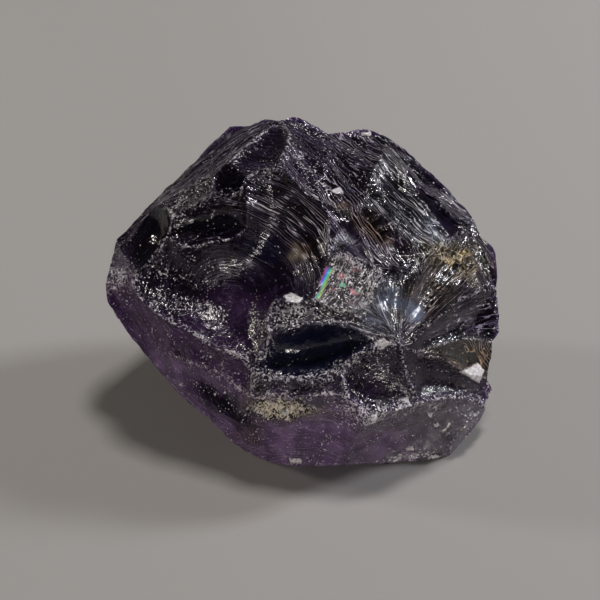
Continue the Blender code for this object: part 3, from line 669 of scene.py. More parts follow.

# %% Patches
# Patches that don't keep to a scar: what each changes, pixel x and y, half width and height in
# pixels, turn in degrees, and by how much. A colour's name moves the skin towards that colour.
# The gold rows and the crushed rows among them paint warm glints on the fan as gold-stained crushed
# quartz
# The pale blue-grey rows here paint the reflection of a bluish window over the fan
# a painted reflection of a bluish window on the steps
# grey paint for a soft grey sheen beside the steps
# white crushed quartz painted over the same window reflection on the steps
PATCHES = rows_of("""
ripple 290 212 48 26 35 0.95
ripple 308 250 16 32 -8 0.9
ripple 225 200 30 8 10 0.5
ripple 244 268 30 13 -35 0.45
grain 172 278 38 20 20 0.3
grain 215 300 44 18 25 0.2
grain 160 300 22 12 35 0.15
grain 184 305 34 11 25 0.45
grain 200 264 34 15 5 0.25
ripple 205 268 34 14 -15 0.35
grain 255 330 7 24 0 0.4
grain 262 250 30 24 0 -0.3
night 262 250 26 22 0 0.9
plum 240 305 40 20 20 0.45
violet 190 315 30 8 30 0.5
grey 285 212 40 16 35 0.7
sand 297 252 7 9 0 0.8
ochre 304 250 12 12 0 0.8
black 308 285 9 14 0 0.8
ripple 208 243 34 6 -8 0.9
ripple 360 225 45 10 38 0.6
sand 340 206 8 4 25 0.8
ochre 372 230 30 9 38 0.9
dusk 348 238 18 10 20 1.2
grain 346 238 18 9 20 -0.6
dull 345 237 15 6 15 0.12
sand 390 244 8 5 20 0.8
gold 446 256 18 9 25 1.3
crushed 446 256 15 6 25 0.8
gold 464 254 13 7 -30 1
crushed 464 254 11 4 -30 0.7
crushed 468 270 4 16 -28 0.45
streak 455 260 26 13 15 1.1
gold 456 259 26 12 12 2.6
dull 441 274 14 8 -45 0.1
dull 417 312 7 12 30 0.08
dull 389 302 13 12 0 0.1
crushed 374 322 17 5 38 0.45
gold 467 268 8 18 -28 1.1
grey 420 248 24 7 15 0.5
cream 483 300 7 5 20 0.5
ochre 430 294 36 18 -42 1.2
mirror 372 318 24 9 32 0.9
streak 372 318 26 12 32 1.3
grain 372 318 24 10 32 -0.5
mirror 396 304 18 11 25 1.2
streak 402 338 14 14 0 -0.5
streak 394 296 9 26 5 -0.6
grain 390 302 18 14 0 -0.2
mirror 415 312 8 16 18 1.1
mirror 435 232 18 9 40 0.8
streak 385 268 26 12 10 -0.7
ripple 385 268 26 14 10 0.5
black 385 268 26 12 10 0.7
streak 400 304 14 8 25 -0.6
streak 415 312 8 16 18 -0.7
cream 279 409 30 8 3 2.5
cream 258 385 9 9 0 0.35
lilac 385 446 34 14 -10 0.8
grey 320 402 24 9 0 0.6
dusk 224 404 36 10 37 1.8
lilac 170 360 26 6 40 0.5
ochre 250 430 12 14 0 0.3
grain 365 415 26 14 0 0.5
grain 378 345 12 10 0 0.5
crushed 279 409 30 8 3 1.9
crushed 262 390 10 12 0 0.2
crushed 366 412 28 12 10 0.75
crushed 382 346 7 4 -20 0.95
crushed 348 362 26 7 -28 0.8
crushed 120 276 10 7 20 0.95
crushed 300 312 24 7 0 0.6
crushed 218 196 30 7 -5 0.4
crushed 178 205 18 9 -30 0.4
crushed 297 156 22 4 65 0.6
crushed 326 187 24 4 45 0.65
black 330 160 16 8 45 0.8
grain 365 165 20 10 45 0.15
ripple 390 170 50 16 48 0.5
grain 385 178 24 16 45 -0.3
grain 347 226 20 14 30 -0.5
ripple 350 234 18 12 25 -0.4
crushed 345 228 14 10 25 -0.4
sand 297 251 7 9 -25 1.3
crushed 297 251 7 9 -25 0.4
ripple 385 186 30 13 52 -0.7
black 385 186 26 12 52 0.6
crushed 438 233 18 6 42 0.85
crushed 280 176 22 7 10 0.4
crushed 430 405 34 8 -5 0.6
crushed 376 282 9 16 20 0.5
crushed 345 275 24 18 10 0.3
crushed 350 263 24 5 24 0.55
dull 350 248 34 8 5 0.2
dull 235 145 14 8 -45 0.12
black 350 248 34 6 5 0.7
ripple 320 245 14 30 -5 0.8
ripple 240 205 36 10 15 0.5
plum 215 330 40 12 30 0.5
violet 300 235 10 10 0 0.6
black 276 146 8 16 25 0.9
black 478 258 5 12 -30 0.5
""")

print(len(PATCHES), "patches")

# %% Flakes, pits and a crack that splits the light
# White flakes that are still half stuck: the pixels of their corners, clockwise on the picture
FLAKES = rows_of("""
461 372, 478 363, 484 371, 479 383
284 296, 292 293, 302 298, 298 303, 287 301
371 415, 379 416, 375 421
289 459, 300 458, 302 463, 291 463
428 457, 436 454, 441 457, 434 460
405 449, 413 447, 414 451
427 414, 433 413, 431 418
433 424, 439 423, 437 428
332 191, 340 187, 343 192, 336 194
359 134, 370 132, 371 136
378 343, 384 338, 389 344, 383 348
401 400, 407 397, 409 403
278 413, 287 410, 289 415
""")
FLAKE_LIFT = 0.22  # mm

# Small dark pits: pixel x and y, half width and height in pixels, and turn in degrees
PITS = rows_of("""
335 165 8 4 20
290 182 7 4 30
372 190 9 4 30
385 205 8 4 40
318 172 5 3 30
352 180 6 3 30
330 198 6 4 10
232 186 5 3 0
345 215 9 3 30
308 256 4 4 0
395 180 8 3 45
275 365 6 3 0
300 388 6 3 0
365 365 5 4 0
180 355 6 4 20
""")
PIT_DEPTH = 0.30  # mm

# A crack under the skin of the bright patch splits the light: its two ends and half width, in
# pixels, and its colours from left to right
RAINBOW = ((331, 266), (315, 300), 5.0)
RAINBOW_COLOURS = ("#7a2f7e", "#ff4f8a", "#5050ff", "#20c8f0", "#40f080", "#f0f040", "#ff7040")
RAINBOW_DOTS = (346, 283, 17, 15, 0)  # where its loose dots lie, as a patch
DOT_RED, DOT_GREEN = "#ff4a6a", "#38d8a0"
RAINBOW_SHARE = 0.95
RAINBOW_SKIN = (1.0, 0.25, 0.0)  # its haze, roughness and stain

print(len(FLAKES), "flakes and", len(PITS), "pits")

# %% Steps and crushed ridges
# Height in mm of the saw-toothed steps of a scar that broke in steps
STEPS = {"steps": 0.20, "slope": 0.14, "outer_strip": 0.14, "patch": 0.05, "brow": 0.06}

# How wide and how strongly a ridge is crushed to white, in mm and from 0 to 1
CRUSHED = named_rows("""
knob_west 1.3 1
rim_west 0.6 0.5
crest_low 1 0.9
crest_high 0.6 0.8
crest_turn 0.7 0.8
crest_mid 0.8 0.6
scoop_sw 0.4 0.4
scoop_nw 0.3 0.4
scoop_ne 1 0.8
slope_pocket 0.8 0.5
pocket_east 0.9 0.6
cavity_west 0.5 0.5
cavity_north 0.4 0.3
cavity_south 1 0.6
inner_south 1.2 0.6
inner_east 0.8 0.6
spur 0.5 0.7
lip 0.18 0.9
lip_up 0.5 0.05
ripple_top 1 0.45
crown_split 1.2 0.35
crown_south 0.6 0.5
crown_east 0.6 0.3
seam_start 0.5 0.3
seam_high 0.5 0.5
seam_deep 0.3 0.2
ochre_west 0.5 0.5
steps_south 0.5 0.3
steps_east 0.7 0.7
ochre_low 0.3 0.2
blade_inner 0.25 0.8
blade_outer 0.3 0.4
blade_tip 0.8 0.7
patch_east 0.5 0.7
patch_south 0.6 0.6
fan_low 0.3 0.3
fan_seam 0.2 0.6
gold_ridge 0.35 0.9
gold_ridge_end 0.6 0.6
ledge_north 0.7 0.6
ledge_side 0.8 0.7
bowl_rim 0.5 0.35
bowl_side 0.4 0.8
bowl_low 1.2 0.9
bowl_se 1 0.9
bowl_sw_a 0.9 1
bowl_sw_b 0.9 0.95
bowl_sw_c 0.9 0.7
fan_bowl 0.6 0.7
band_south 0.8 0.7
band_east 0.9 0.7
band_west 1.2 0.8
cream_top 1 0.8
cream_west 0.6 0.5
knot_rise 1 0.7
low_ridge_a 0.8 0.9
low_ridge_b 0.7 0.8
keel 0.3 0.2
heel 0.3 0.1
lilac_top_b 0.6 0.7
lilac_top_c 0.8 0.8
lilac_low 0.3 0.25
split_a 0.5 0.3
split_b 0.8 0.5
hollow_split 0.6 0.7
east_fold 0.35 0.7
east_crease 0.3 0.7
flake 0.4 0.6
rim_e4 0.7 0.7
rim_e2 0.5 0.5
rim_n2 0.8 0.5
rim_n3 0.5 0.35
rim_s1 0.25 0.4
rim_s2 0.25 0.4
""")
PLAINLY_CRUSHED = (0.25, 0.20)  # a ridge that the table leaves out

# Ridges with no crumbs lost
KEEN = {"lip", "gold_ridge", "fan_seam", "blade_inner", "blade_outer"}
print(len(CRUSHED), "ridges have a crushed width of their own")

# %% [markdown]
# ## A scar as a height over its own plane
# Each scar gets a flat plane through its rim. Its shape is then a height over two numbers, across
# and along that plane, worked out on an even triangular lattice. The rim's own heights are spread
# inwards smoothly, and a bowl is pressed in, as a skin hangs under an even weight. A grid of rows
# and columns would leave steps at the slanting rim, and rings round a middle point would leave
# folds; a lattice joined to the rim by the fattest triangles leaves neither.

# %% Planes and lattices
ROW_HEIGHT = math.sqrt(0.75)  # of a triangular lattice, in steps
SHIFT_ACROSS, SHIFT_ALONG = 0.27, 0.31  # steps; they keep the lattice off the corner of the box
ANY_SLANT = (0.3, 0.2, 1.0)  # a direction that is no scar's normal


def rim_of(ridges):
    """The closed rim of a scar with no point twice, and how wide and how strongly each point is
    crushed."""
    parts = []
    crush = []
    for word in ridges:
        name = word.lstrip("-")
        line = lines[name][::-1] if word.startswith("-") else lines[name]
        parts.append(line[:-1])
        crush.append(np.tile(CRUSHED.get(name, PLAINLY_CRUSHED), (len(line) - 1, 1)))
    return np.vstack(parts), np.vstack(crush)


def plane_of(rim):
    """A scar's middle, outward normal and two directions across it. The normal is the sum of the
    cross products round the rim, which runs clockwise seen from outside."""
    middle = rim.mean(axis=0)
    arms = rim - middle
    normal = -np.cross(arms, np.roll(arms, -1, axis=0)).sum(axis=0)
    normal /= np.linalg.norm(normal)
    across = np.cross(normal, ANY_SLANT)
    across /= np.linalg.norm(across)
    return middle, normal, across, np.cross(normal, across)


def lattice_over(flat, step):
    """An even triangular lattice over the box of a flat rim: each second row is half a step on."""
    low = flat.min(axis=0)
    columns, rows = (np.ptp(flat, axis=0) / step).astype(int) + 2
    k, j = np.meshgrid(np.arange(columns), np.arange(round(rows / ROW_HEIGHT) + 1))
    rows_at = (j * ROW_HEIGHT).ravel() + SHIFT_ALONG
    return low + step * np.column_stack([(k + 0.5 * (j % 2)).ravel() + SHIFT_ACROSS, rows_at])


def rim_weights(places, flat):
    """Mean value weights of a rim's points at places inside it, each place's distance to the rim,
    and the angle that the rim turns round it.

    A rim point's weight is the sum of the tangents of half the two angles that its edges fill as
    seen from the place, over its distance. The angle is a full turn inside the rim and none
    outside.
    """
    arms = flat[None] - places[:, None]
    reach = np.linalg.norm(arms, axis=2)
    ahead = np.roll(arms, -1, axis=1)
    cross = arms[..., 0] * ahead[..., 1] - arms[..., 1] * ahead[..., 0]
    angle = np.arctan2(cross, (arms * ahead).sum(axis=2))
    half = np.tan(angle / 2)
    weight = (half + np.roll(half, 1, axis=1)) / reach
    return weight / weight.sum(axis=1, keepdims=True), reach, angle.sum(axis=1)


# %% [markdown]
# ## Ripples, streaks and grain in the shape itself
# Three reliefs are added to each bowl, all fading out towards the rim. A ripple is a wave of the
# distance from the blow. A streak is a wave of the angle round the blow, higher further out. Grain
# is smooth random lumps. They could all be left to the material, but a real ripple of half a
# millimetre shows against the light at the outline, so the coarse part of each is in the mesh and
# only the finest is left to the material.

# %% Random lumps
RANDOM_HEIGHTS = 4096  # how many heights the lumps draw from
LATTICE_KEY = np.array([73, 1531, 7919])  # primes that scatter a lattice corner over the heights


def lumps(points, size, seed):
    """Smooth random heights from -1 to 1, about one lump to each cube of this size.

    Each corner of a cubic lattice has a random height, and a point blends the heights of the eight
    corners round it by how near it is to each.
    """
    cell = np.floor(points / size).astype(int)
    part = smooth(points / size - cell)
    heights = np.random.default_rng(seed).uniform(-1.0, 1.0, RANDOM_HEIGHTS)
    total = np.zeros(len(points))
    for turn in np.ndindex(2, 2, 2):
        key = (cell + turn) @ LATTICE_KEY
        share = np.where(np.array(turn) == 1, part, 1.0 - part).prod(axis=1)
        total += heights[key % RANDOM_HEIGHTS] * share
    return total


# %% Where a patch and the crack's colours lie
def patch_share(x, y, middle_x, middle_y, wide, high, turn):
    """How strongly a patch lies on each pixel: 1 in its middle, fading as a bell does, turned."""
    cos, sin = math.cos(math.radians(turn)), math.sin(math.radians(turn))
    u = ((x - middle_x) * cos + (y - middle_y) * sin) / wide
    v = ((y - middle_y) * cos - (x - middle_x) * sin) / high
    return np.exp(-(u * u + v * v))


def rainbow_on(points):
    """How strongly the crack's colours lie on each point, and their colour there.

    Along the line between the rainbow's two ends the colours are spread over the distance to the
    right of it. Over the rest of the patch they are loose dots where a noise passes a level, and
    another noise makes each of them red or green.
    """
    x, y = in_picture(points)
    (x0, y0), (x1, y1), half = RAINBOW
    long = math.hypot(x1 - x0, y1 - y0)
    along = ((x - x0) * (x1 - x0) + (y - y0) * (y1 - y0)) / long
    right = ((x - x0) * (y1 - y0) - (y - y0) * (x1 - x0)) / long
    stripe = smooth(2.0 - 2.0 * np.abs(right) / half)
    stripe = stripe * smooth(along / 4) * smooth((long - along) / 4)
    stripe *= smooth(1.2 + 2.0 * lumps(points, 1.1, 41))
    colours = np.array([hex_to_linear(code) for code in RAINBOW_COLOURS])
    stops = np.linspace(-half, half, len(colours))
    colour = np.column_stack([np.interp(right, stops, band) for band in colours.T])
    dots = smooth((lumps(points, 0.9, 42) - 0.19) / 0.12) * patch_share(x, y, *RAINBOW_DOTS)
    reds = smooth(0.5 + 6.0 * lumps(points, 1.1, 43))[:, None]
    dot_colour = reds * hex_to_linear(DOT_RED) + (1.0 - reds) * hex_to_linear(DOT_GREEN)
    colour += (dots > stripe)[:, None] * (dot_colour - colour)
    return np.maximum(stripe, 0.9 * dots), colour


# %% What the skin has at each point
# In this order; red, green and blue lie between crush and haze
RIPPLE, STREAK, GRAIN, CRUSH, HAZE, ROUGH, STAIN = 0, 1, 2, 3, 7, 8, 9
TINT = slice(CRUSH + 1, HAZE)  # red, green and blue
SKIN = slice(CRUSH + 1, None)  # all that a colour's name sets
RELIEF = slice(RIPPLE, CRUSH + 1)
STRENGTHS = {"ripple": RIPPLE, "streak": STREAK, "grain": GRAIN, "crushed": CRUSH, "dull": ROUGH}
PATCH_STRAY = 6.0  # pixels that a patch's outline strays at most
STRONGEST = 1.3  # no patch makes a strength of the relief higher than this


def look_of(name):
    """A scar's ripple, streak, grain, crush, red, green, blue, haze, roughness and stain."""
    *_, ripple, _, streak, grain, colour = SURFACES[name]
    code, *rest = COLOURS[colour]
    return np.array([ripple, streak, grain, 0.0, *hex_to_linear(code), *rest])


def patched(points, look):
    """The look of points in view with the patches laid over it."""
    x, y = in_picture(points)
    stray = PATCH_STRAY * lumps(points, 1.2, 5)
    stray_too = PATCH_STRAY * lumps(points, 1.2, 6)
    look = look.copy()
    for what, *place, amount in PATCHES:
        share = amount * patch_share(x + stray, y + stray_too, *place)
        if what in STRENGTHS:
            look[:, STRENGTHS[what]] += share
        else:
            code, *rest = COLOURS[what]
            goal = np.array([*hex_to_linear(code), *rest])
            look[:, SKIN] += np.minimum(share, 1.0)[:, None] * (goal - look[:, SKIN])
    look[:, RELIEF] = np.clip(look[:, RELIEF], 0.0, STRONGEST)
    return look


# %% Where flakes and pits lie
WELL_INSIDE = 9.0  # pixels; no point of a flake is farther from its sides than this


def knocked(points):
    """How strongly a white flake and a dark pit lie on each point in view.

    A point is inside a flake by its least distance to the flake's sides, in pixels, and the flake
    fades out over two pixels. A pit fades out as a bell does.
    """
    x, y = in_picture(points)
    stray = lumps(points, 1.2, 5)
    flakes = np.zeros(len(points))
    pits = np.zeros(len(points))
    for row in FLAKES:
        corners = list(zip(row[::2], row[1::2]))
        inside = np.full(len(points), WELL_INSIDE)
        for (x0, y0), (x1, y1) in zip(corners, corners[1:] + corners[:1]):
            long = math.hypot(x1 - x0, y1 - y0)
            inside = np.minimum(inside, ((x1 - x0) * (y - y0) - (y1 - y0) * (x - x0)) / long)
        flakes = np.maximum(flakes, smooth((inside + 1.5) / 2.0))
    for place in PITS:
        pits = np.maximum(pits, patch_share(x + 2 * stray, y - 2 * stray, *place))
    return flakes, pits


# %% Where the blow fell
BEYOND_RIM = 1.8  # how far off a hidden blow is, in distances from the scar's middle to its rim


def blow_on(name, middle, normal, across, along, flat):
    """Where the ripples of a scar spread from, on its plane.

    In view it is where the line of sight through the blow's pixel meets the plane; out of view it
    lies beyond a point of the rim.
    """
    if name not in IN_VIEW:
        return flat[int(SURFACES[name][0] * len(flat))] * BEYOND_RIM
    sight = sight_line(*SURFACES[name][:2])
    point = EYE + sight * ((middle - EYE) @ normal) / (sight @ normal)
    return np.array([(point - middle) @ across, (point - middle) @ along])


# %% The relief in the mesh
LONG = 3  # a wave in the mesh is as long as three of those in the material
RIPPLE_HEIGHT = 0.025  # mm
STREAK_HEIGHT = 0.03  # mm
STREAK_START = 6  # ripple lengths from the blow over which the streaks grow
STEP_TOP = 0.88  # share of a step that rises; the rest of it falls back
DROP_MIDDLE, DROP_REACH = 0.94, 0.09  # where in a step its broken edge is, and how far it reaches
GRAIN_LUMPS = ((1.6, 0.10), (0.8, 0.07), (0.45, 0.045))  # size and height in mm
LEAST_GRAIN = 0.25


def relief(points, distance, bearing, look, step):
    """Height of a scar's relief in mm, and where its steps break off.

    Ripples are sine waves of the distance, streaks are sine waves of the bearing, and lumps are
    random. A step rises evenly over a ripple and falls back at once.
    """
    ripple, streak, grain = look.T[:CRUSH]
    wander = 0.5 * lumps(points, 3.0, 21) + 0.15 * lumps(points, 1.0, 22)
    waves = RIPPLE_HEIGHT * ripple * np.sin(2 * math.pi * (distance / LONG + wander))
    rays = STREAK_HEIGHT * streak * np.sin(2 * math.pi * (bearing / LONG + wander))
    rays = rays * smooth(distance / STREAK_START)
    phase = (distance / LONG + 0.7 * wander) % 1.0
    climb = np.where(phase < STEP_TOP, phase / STEP_TOP, (1.0 - phase) / (1.0 - STEP_TOP))
    broken = smooth(1.0 - np.abs(phase - DROP_MIDDLE) / DROP_REACH)
    broken = broken * smooth(2 * lumps(points, 1.5, 23) + 0.8)
    crumbs = sum(high * lumps(points, size, 31 + k) for k, (size, high) in enumerate(GRAIN_LUMPS))
    return waves + rays + step * climb + (LEAST_GRAIN + grain) * crumbs, broken


# %% Every scar
OFF_RIM = 0.6  # steps that a lattice point keeps from the rim
RIM_FADE = 1.2  # mm from the rim over which the relief grows
WHITE_STEPS = 4  # how white a step's broken edge is, for each mm of its height
INSIDE = 1  # tells the triangles to stay inside the rim
SAME_POINT = 1e-5  # mm


def make_scar(name, ridges, hollow):
    """Points, triangles, and what each point carries to the material."""
    rim, crush = rim_of(ridges)
    middle, normal, across, along = plane_of(rim)
    flat = np.column_stack([(rim - middle) @ across, (rim - middle) @ along])
    heights = (rim - middle) @ normal
    step = FINE_STEP if name in IN_VIEW else COARSE_STEP
    places = lattice_over(flat, step)
    weight, reach, turned = rim_weights(places, flat)
    keep = (np.abs(turned) > math.pi) & (reach.min(axis=1) > OFF_RIM * step)
    places, weight, reach = places[keep], weight[keep], reach[keep]
    nearest = reach.argmin(axis=1)
    edge = reach.min(axis=1)
    bowl = (flat**2).sum(axis=1)
    push = weight @ bowl - (places**2).sum(axis=1)
    level = weight @ heights - hollow * push / push.max()
    inner = middle + places[:, :1] * across + places[:, 1:] * along + level[:, None] * normal

    points = np.vstack([rim, inner])
    look = np.tile(look_of(name), (len(points), 1))
    *_, ripple_length, _, streak_width, _, _, _ = SURFACES[name]
    everywhere = np.vstack([flat, places])
    blow = blow_on(name, middle, normal, across, along, flat)
    arm = everywhere - blow
    aim = everywhere.mean(axis=0) - blow
    distance = np.linalg.norm(arm, axis=1)
    turn = np.arctan2(aim[0] * arm[:, 1] - aim[1] * arm[:, 0], arm @ aim)
    typical = np.median(distance)
    waves = np.column_stack([distance / ripple_length, turn * typical / streak_width])
    near = np.concatenate([crush[:, 1], crush[nearest, 1] * np.exp(-edge / crush[nearest, 0])])
    if name != "base":
        shaped, flakes, pits = look, 0.0, 0.0
        if name in IN_VIEW:
            shaped = patched(points, look)
            flakes, pits = (share[len(rim) :] for share in knocked(points))
        tall = STEPS.get(name, 0.0)
        high, broken = relief(inner, *waves[len(rim) :].T, shaped[len(rim) :], tall)
        high += FLAKE_LIFT * flakes - PIT_DEPTH * pits
        points[len(rim) :] += (high * smooth(edge / RIM_FADE))[:, None] * normal
        near[len(rim) :] = np.maximum(near[len(rim) :], min(1.0, WHITE_STEPS * tall) * broken)

    border = [list(range(len(rim)))]
    _, _, corners, sources, _, _ = delaunay_2d_cdt(
        everywhere.tolist(), [], border, INSIDE, SAME_POINT
    )
    order = np.array([source[0] for source in sources])
    return {
        "points": points,
        "faces": order[np.array(corners)],
        "waves": waves,
        "look": look,
        "near": near[:, None],
        "seen": np.full((len(points), 1), float(name in IN_VIEW)),
        "rainbow": np.full((len(points), 1), float(name == "patch")),
        "normal": normal,
    }


scars = {name: make_scar(name, ridges, hollow) for name, (hollow, *ridges) in SCARS.items()}
print("triangles:", sum(len(scar["faces"]) for scar in scars.values()))

# %% [markdown]
# ## Joining the scars
# Neighbouring scars end on the very same ridge points, so joining them is only a matter of giving
# equal points one number. What each scar carries to the material stays with its own corners: at a
# ridge, the ripples of one side must not run into those of the other.

# %% One skin
points = np.vstack([scar["points"] for scar in scars.values()])
starts = np.cumsum([0, *(len(scar["points"]) for scar in scars.values())])
faces = np.vstack([scar["faces"] + start for scar, start in zip(scars.values(), starts)])
waves = np.vstack([scar["waves"] for scar in scars.values()])[faces]
_, first, number = np.unique(np.round(points, 3), axis=0, return_index=True, return_inverse=True)
number = number.reshape(-1)
shared = np.bincount(number)


def joined(key):
    """Each joined point's mean of a value over the scars that meet there."""
    value = np.vstack([scar[key] for scar in scars.values()])
    return np.column_stack([np.bincount(number, column) / shared for column in value.T])


look = joined("look")
near = joined("near")[:, 0]
seen = joined("seen")
in_rainbow = joined("rainbow")[:, 0]
points = points[first]
faces = number[faces]
print("points after joining:", len(points))

# %% [markdown]
# ## Finishes that run into each other
# If each scar kept its own finish up to the ridge, the stone would look tiled. On the real one the
# grain and the haze run on past the ridges, so each finish is spread a millimetre over its
# neighbours. The patches, flakes and the rainbow are laid on afterwards, so that they stay sharp.

# %% Blending
BLEND_ROUNDS = 30  # spreads a finish about 1 mm past a ridge

ends = np.vstack([faces[:, [0, 1]], faces[:, [1, 2]], faces[:, [2, 0]]])
neighbours = np.bincount(ends[:, 0], minlength=len(points))[:, None]


def blended(value):
    """The value spread over the skin: each round moves a point half way to its neighbours' mean."""
    for _ in range(BLEND_ROUNDS):
        columns = [np.bincount(ends[:, 0], c[ends[:, 1]], len(points)) for c in value.T]
        value = (value + np.column_stack(columns) / neighbours) / 2
    return value


look = blended(look)
look += seen * (patched(points, look) - look)
flakes, pits = (share * seen[:, 0] for share in knocked(points))
# A flake is whiter than any crushed ridge. A pit has no white in it, and hardly any haze
look[:, CRUSH] = np.maximum(np.maximum(look[:, CRUSH], near) * (1.0 - pits), 2.0 * flakes)
look[:, HAZE] *= 1.0 - 0.9 * pits
look[:, STAIN] *= 1.0 - flakes

# %% The crack's colours
share, colours = rainbow_on(points)
share = (RAINBOW_SHARE * share * in_rainbow)[:, None]
look[:, TINT] += share * (colours - look[:, TINT])
look[:, HAZE:] += share * (np.array(RAINBOW_SKIN) - look[:, HAZE:])
look[:, GRAIN] *= 1.0 - share[:, 0]
look[:, RIPPLE] *= 1.0 - 0.5 * share[:, 0]
print("crushed share of the skin:", (look[:, CRUSH] > 0.5).mean().round(2))

# %% [markdown]
# ## Crumbs lost from the ridges
# Each knock takes a small shell-shaped crumb off a ridge. A ball is set over the ridge so that it
# just bites into it, and every point inside the ball is pushed straight out onto its skin. The
# larger chips of the hidden sides are made by the same balls as those of the plain solid.

# %% Chips
CRUMBS_PER_MM = 0.55
SMALLEST, LARGEST = 0.3, 1.5  # radius of a crumb's ball, mm
LEAST_BITE, MOST_BITE = 0.12, 0.30  # how deep it bites, in radii
NO_MIDDLE = 1e-6  # mm; a point nearer than this to a ball's middle has no direction
OFF_GROUND = 0.8  # mm; the edge that it rests on loses no crumbs


def chipped(points, middle, radius):
    """The points with those inside a ball pushed straight out from its middle onto its skin."""
    arms = points - middle
    reach = np.linalg.norm(arms, axis=1)[:, None]
    pushed = middle + arms * radius / np.maximum(reach, NO_MIDDLE)
    return np.where(reach < radius, pushed, points)


outwards = {name: np.zeros(3) for name in lines}
for name, (_, *ridges) in SCARS.items():
    for word in ridges:
        outwards[word.lstrip("-")] += scars[name]["normal"]

for middle, radius in CHIPS:
    points = chipped(points, np.array(middle), radius)

crumbs = 0
for name, line in lines.items():
    wide, strong = (0.0, 0.0) if name in KEEN else CRUSHED.get(name, PLAINLY_CRUSHED)
    length = np.linalg.norm(np.diff(line, axis=0), axis=1).sum()
    out = outwards[name] / np.linalg.norm(outwards[name])
    for _ in range(round(CRUMBS_PER_MM * strong * length)):
        radius = min(LARGEST, max(SMALLEST, wide * chance.uniform(0.5, 1.8)))
        depth = radius * chance.uniform(LEAST_BITE, MOST_BITE)
        place = line[chance.integers(1, len(line) - 1)] if len(line) > 2 else line[0]
        if place[2] > OFF_GROUND:
            middle = place + (radius - depth) * out + chance.normal(0.0, 0.2, 3) * radius
            points = chipped(points, middle, radius)
            crumbs += 1
points[:, 2] = np.maximum(points[:, 2], 0.0)
print("crumbs lost:", crumbs)

# %% The stone as one mesh
SHARP_ANGLE = math.radians(38)  # an edge that bends more than this is drawn sharp

points = (points - STONE_MIDDLE) * MM
mesh = bpy.data.meshes.new("rough amethyst")
mesh.from_pydata(points.tolist(), [], faces.tolist())
mesh.shade_smooth()
mesh.set_sharp_from_angle(angle=SHARP_ANGLE)

layer = mesh.uv_layers.new(name="waves")
layer.uv.foreach_set("vector", waves.reshape(-1))


def carry(name, values):
    """Stores four numbers for each point under a name that the material reads."""
    attribute = mesh.attributes.new(name, "FLOAT_COLOR", "POINT")
    attribute.data.foreach_set("color", values.astype(np.float32).reshape(-1))


carry("tint", look[:, CRUSH + 1 : HAZE + 1])
carry("finish", look[:, [RIPPLE, STREAK, GRAIN, ROUGH]])
carry("crushed", look[:, [CRUSH, STAIN, RIPPLE, ROUGH]])  # only its first two are read

stone = bpy.data.objects.new("rough_amethyst", mesh)
show(stone)
print("stone:", len(mesh.polygons), "triangles")

# %% [markdown]
# ## Amethyst
# Amethyst is quartz with a trace of iron. Its index of refraction is 1.544, so it mirrors about a
# twentieth of the light that falls straight on it and much more at a slant: that is the gloss of
# the dark scars. The rest goes inside, where the purple swallows green first, then red, then blue.
# So thin edges and cracks show purple, and the thick stone looks black. The real stone is black
# over some 15 mm. Here one millimetre is enough, because a pale floor sends so much light in
# through the edges that the stone would glow otherwise.
#
# It could be a mix of a glass and a chalk shader. One Principled shader is enough, and is carried
# by other programs too: its transmission is high where the break is clean and falls to nothing
# where the quartz is crushed, because powdered glass is white.

# %% Nodes
material = bpy.data.materials.new("amethyst quartz")
material.use_nodes = True
tree = material.node_tree
tree.nodes.clear()


def add(kind, inputs=None, **settings):
    """Adds a node with its settings. Each input is a value, or the output that is linked to it."""
    made = tree.nodes.new("ShaderNode" + kind)
    for name, value in settings.items():
        setattr(made, name, value)
    for name, value in (inputs or {}).items():
        socket = made.inputs[name]
        if isinstance(value, bpy.types.NodeSocket):
            tree.links.new(value, socket)
        else:
            socket.default_value = value
    return made


def sum_of(*terms):
    """Sum of (output, factor) pairs, as a chain of multiply-adds."""
    total = 0.0
    for output, factor in terms:
        total = add("Math", {0: output, 1: factor, 2: total}, operation="MULTIPLY_ADD").outputs[0]
    return total


def product(a, b):
    """The product of two numbers."""
    return add("Math", {0: a, 1: b}, operation="MULTIPLY").outputs[0]


def ramp(value, low, high):
    """Rises smoothly from 0 at low to 1 at high."""
    made = add(
        "MapRange",
        {"Value": value, "From Min": low, "From Max": high},
        interpolation_type="SMOOTHSTEP",
    )
    return made.outputs["Result"]


# %% What the mesh carries
place = add("TexCoord").outputs["Object"]
in_mm = add("VectorMath", {0: place, "Scale": 1000.0}, operation="SCALE").outputs[0]
tint = add("Attribute", attribute_name="tint")
finish = add("Attribute", attribute_name="finish")
strengths = add("SeparateColor", {"Color": finish.outputs["Color"]})
ripple, streak, grain = strengths.outputs
skin_rough = finish.outputs["Alpha"]
haze = tint.outputs["Alpha"]
knocks = add("Attribute", attribute_name="crushed")
crushed, stain, _ = add("SeparateColor", {"Color": knocks.outputs["Color"]}).outputs
wave_map = add("UVMap", uv_map="waves").outputs["UV"]
wave = add("SeparateXYZ", {0: wave_map})
distance, bearing = wave.outputs["X"], wave.outputs["Y"]

# %% Patterns
LINE_WIDTH = 0.022  # how far from its middle value a pattern still draws a line


def noise(per_mm, detail=2.0, roughness=0.5, where=in_mm, distortion=0.0, **settings):
    """Cloudy noise from 0 to 1, with so many lumps to a millimetre."""
    inputs = {"Vector": where, "Scale": per_mm, "Detail": detail, "Roughness": roughness}
    inputs["Distortion"] = distortion
    return add("TexNoise", inputs, **settings).outputs["Fac"]


def on_map(per_unit, where, detail=2.0):
    """The same noise drawn on a flat map of the blow."""
    return noise(per_unit, detail, where=where, noise_dimensions="2D")


def thin_line(pattern):
    """Thin lines where a cloudy pattern crosses its middle value 0.5."""
    off = add("Math", {0: pattern, 1: 0.5}, operation="SUBTRACT").outputs[0]
    off = add("Math", {0: off}, operation="ABSOLUTE").outputs[0]
    return ramp(off, LINE_WIDTH, LINE_WIDTH * 0.4)


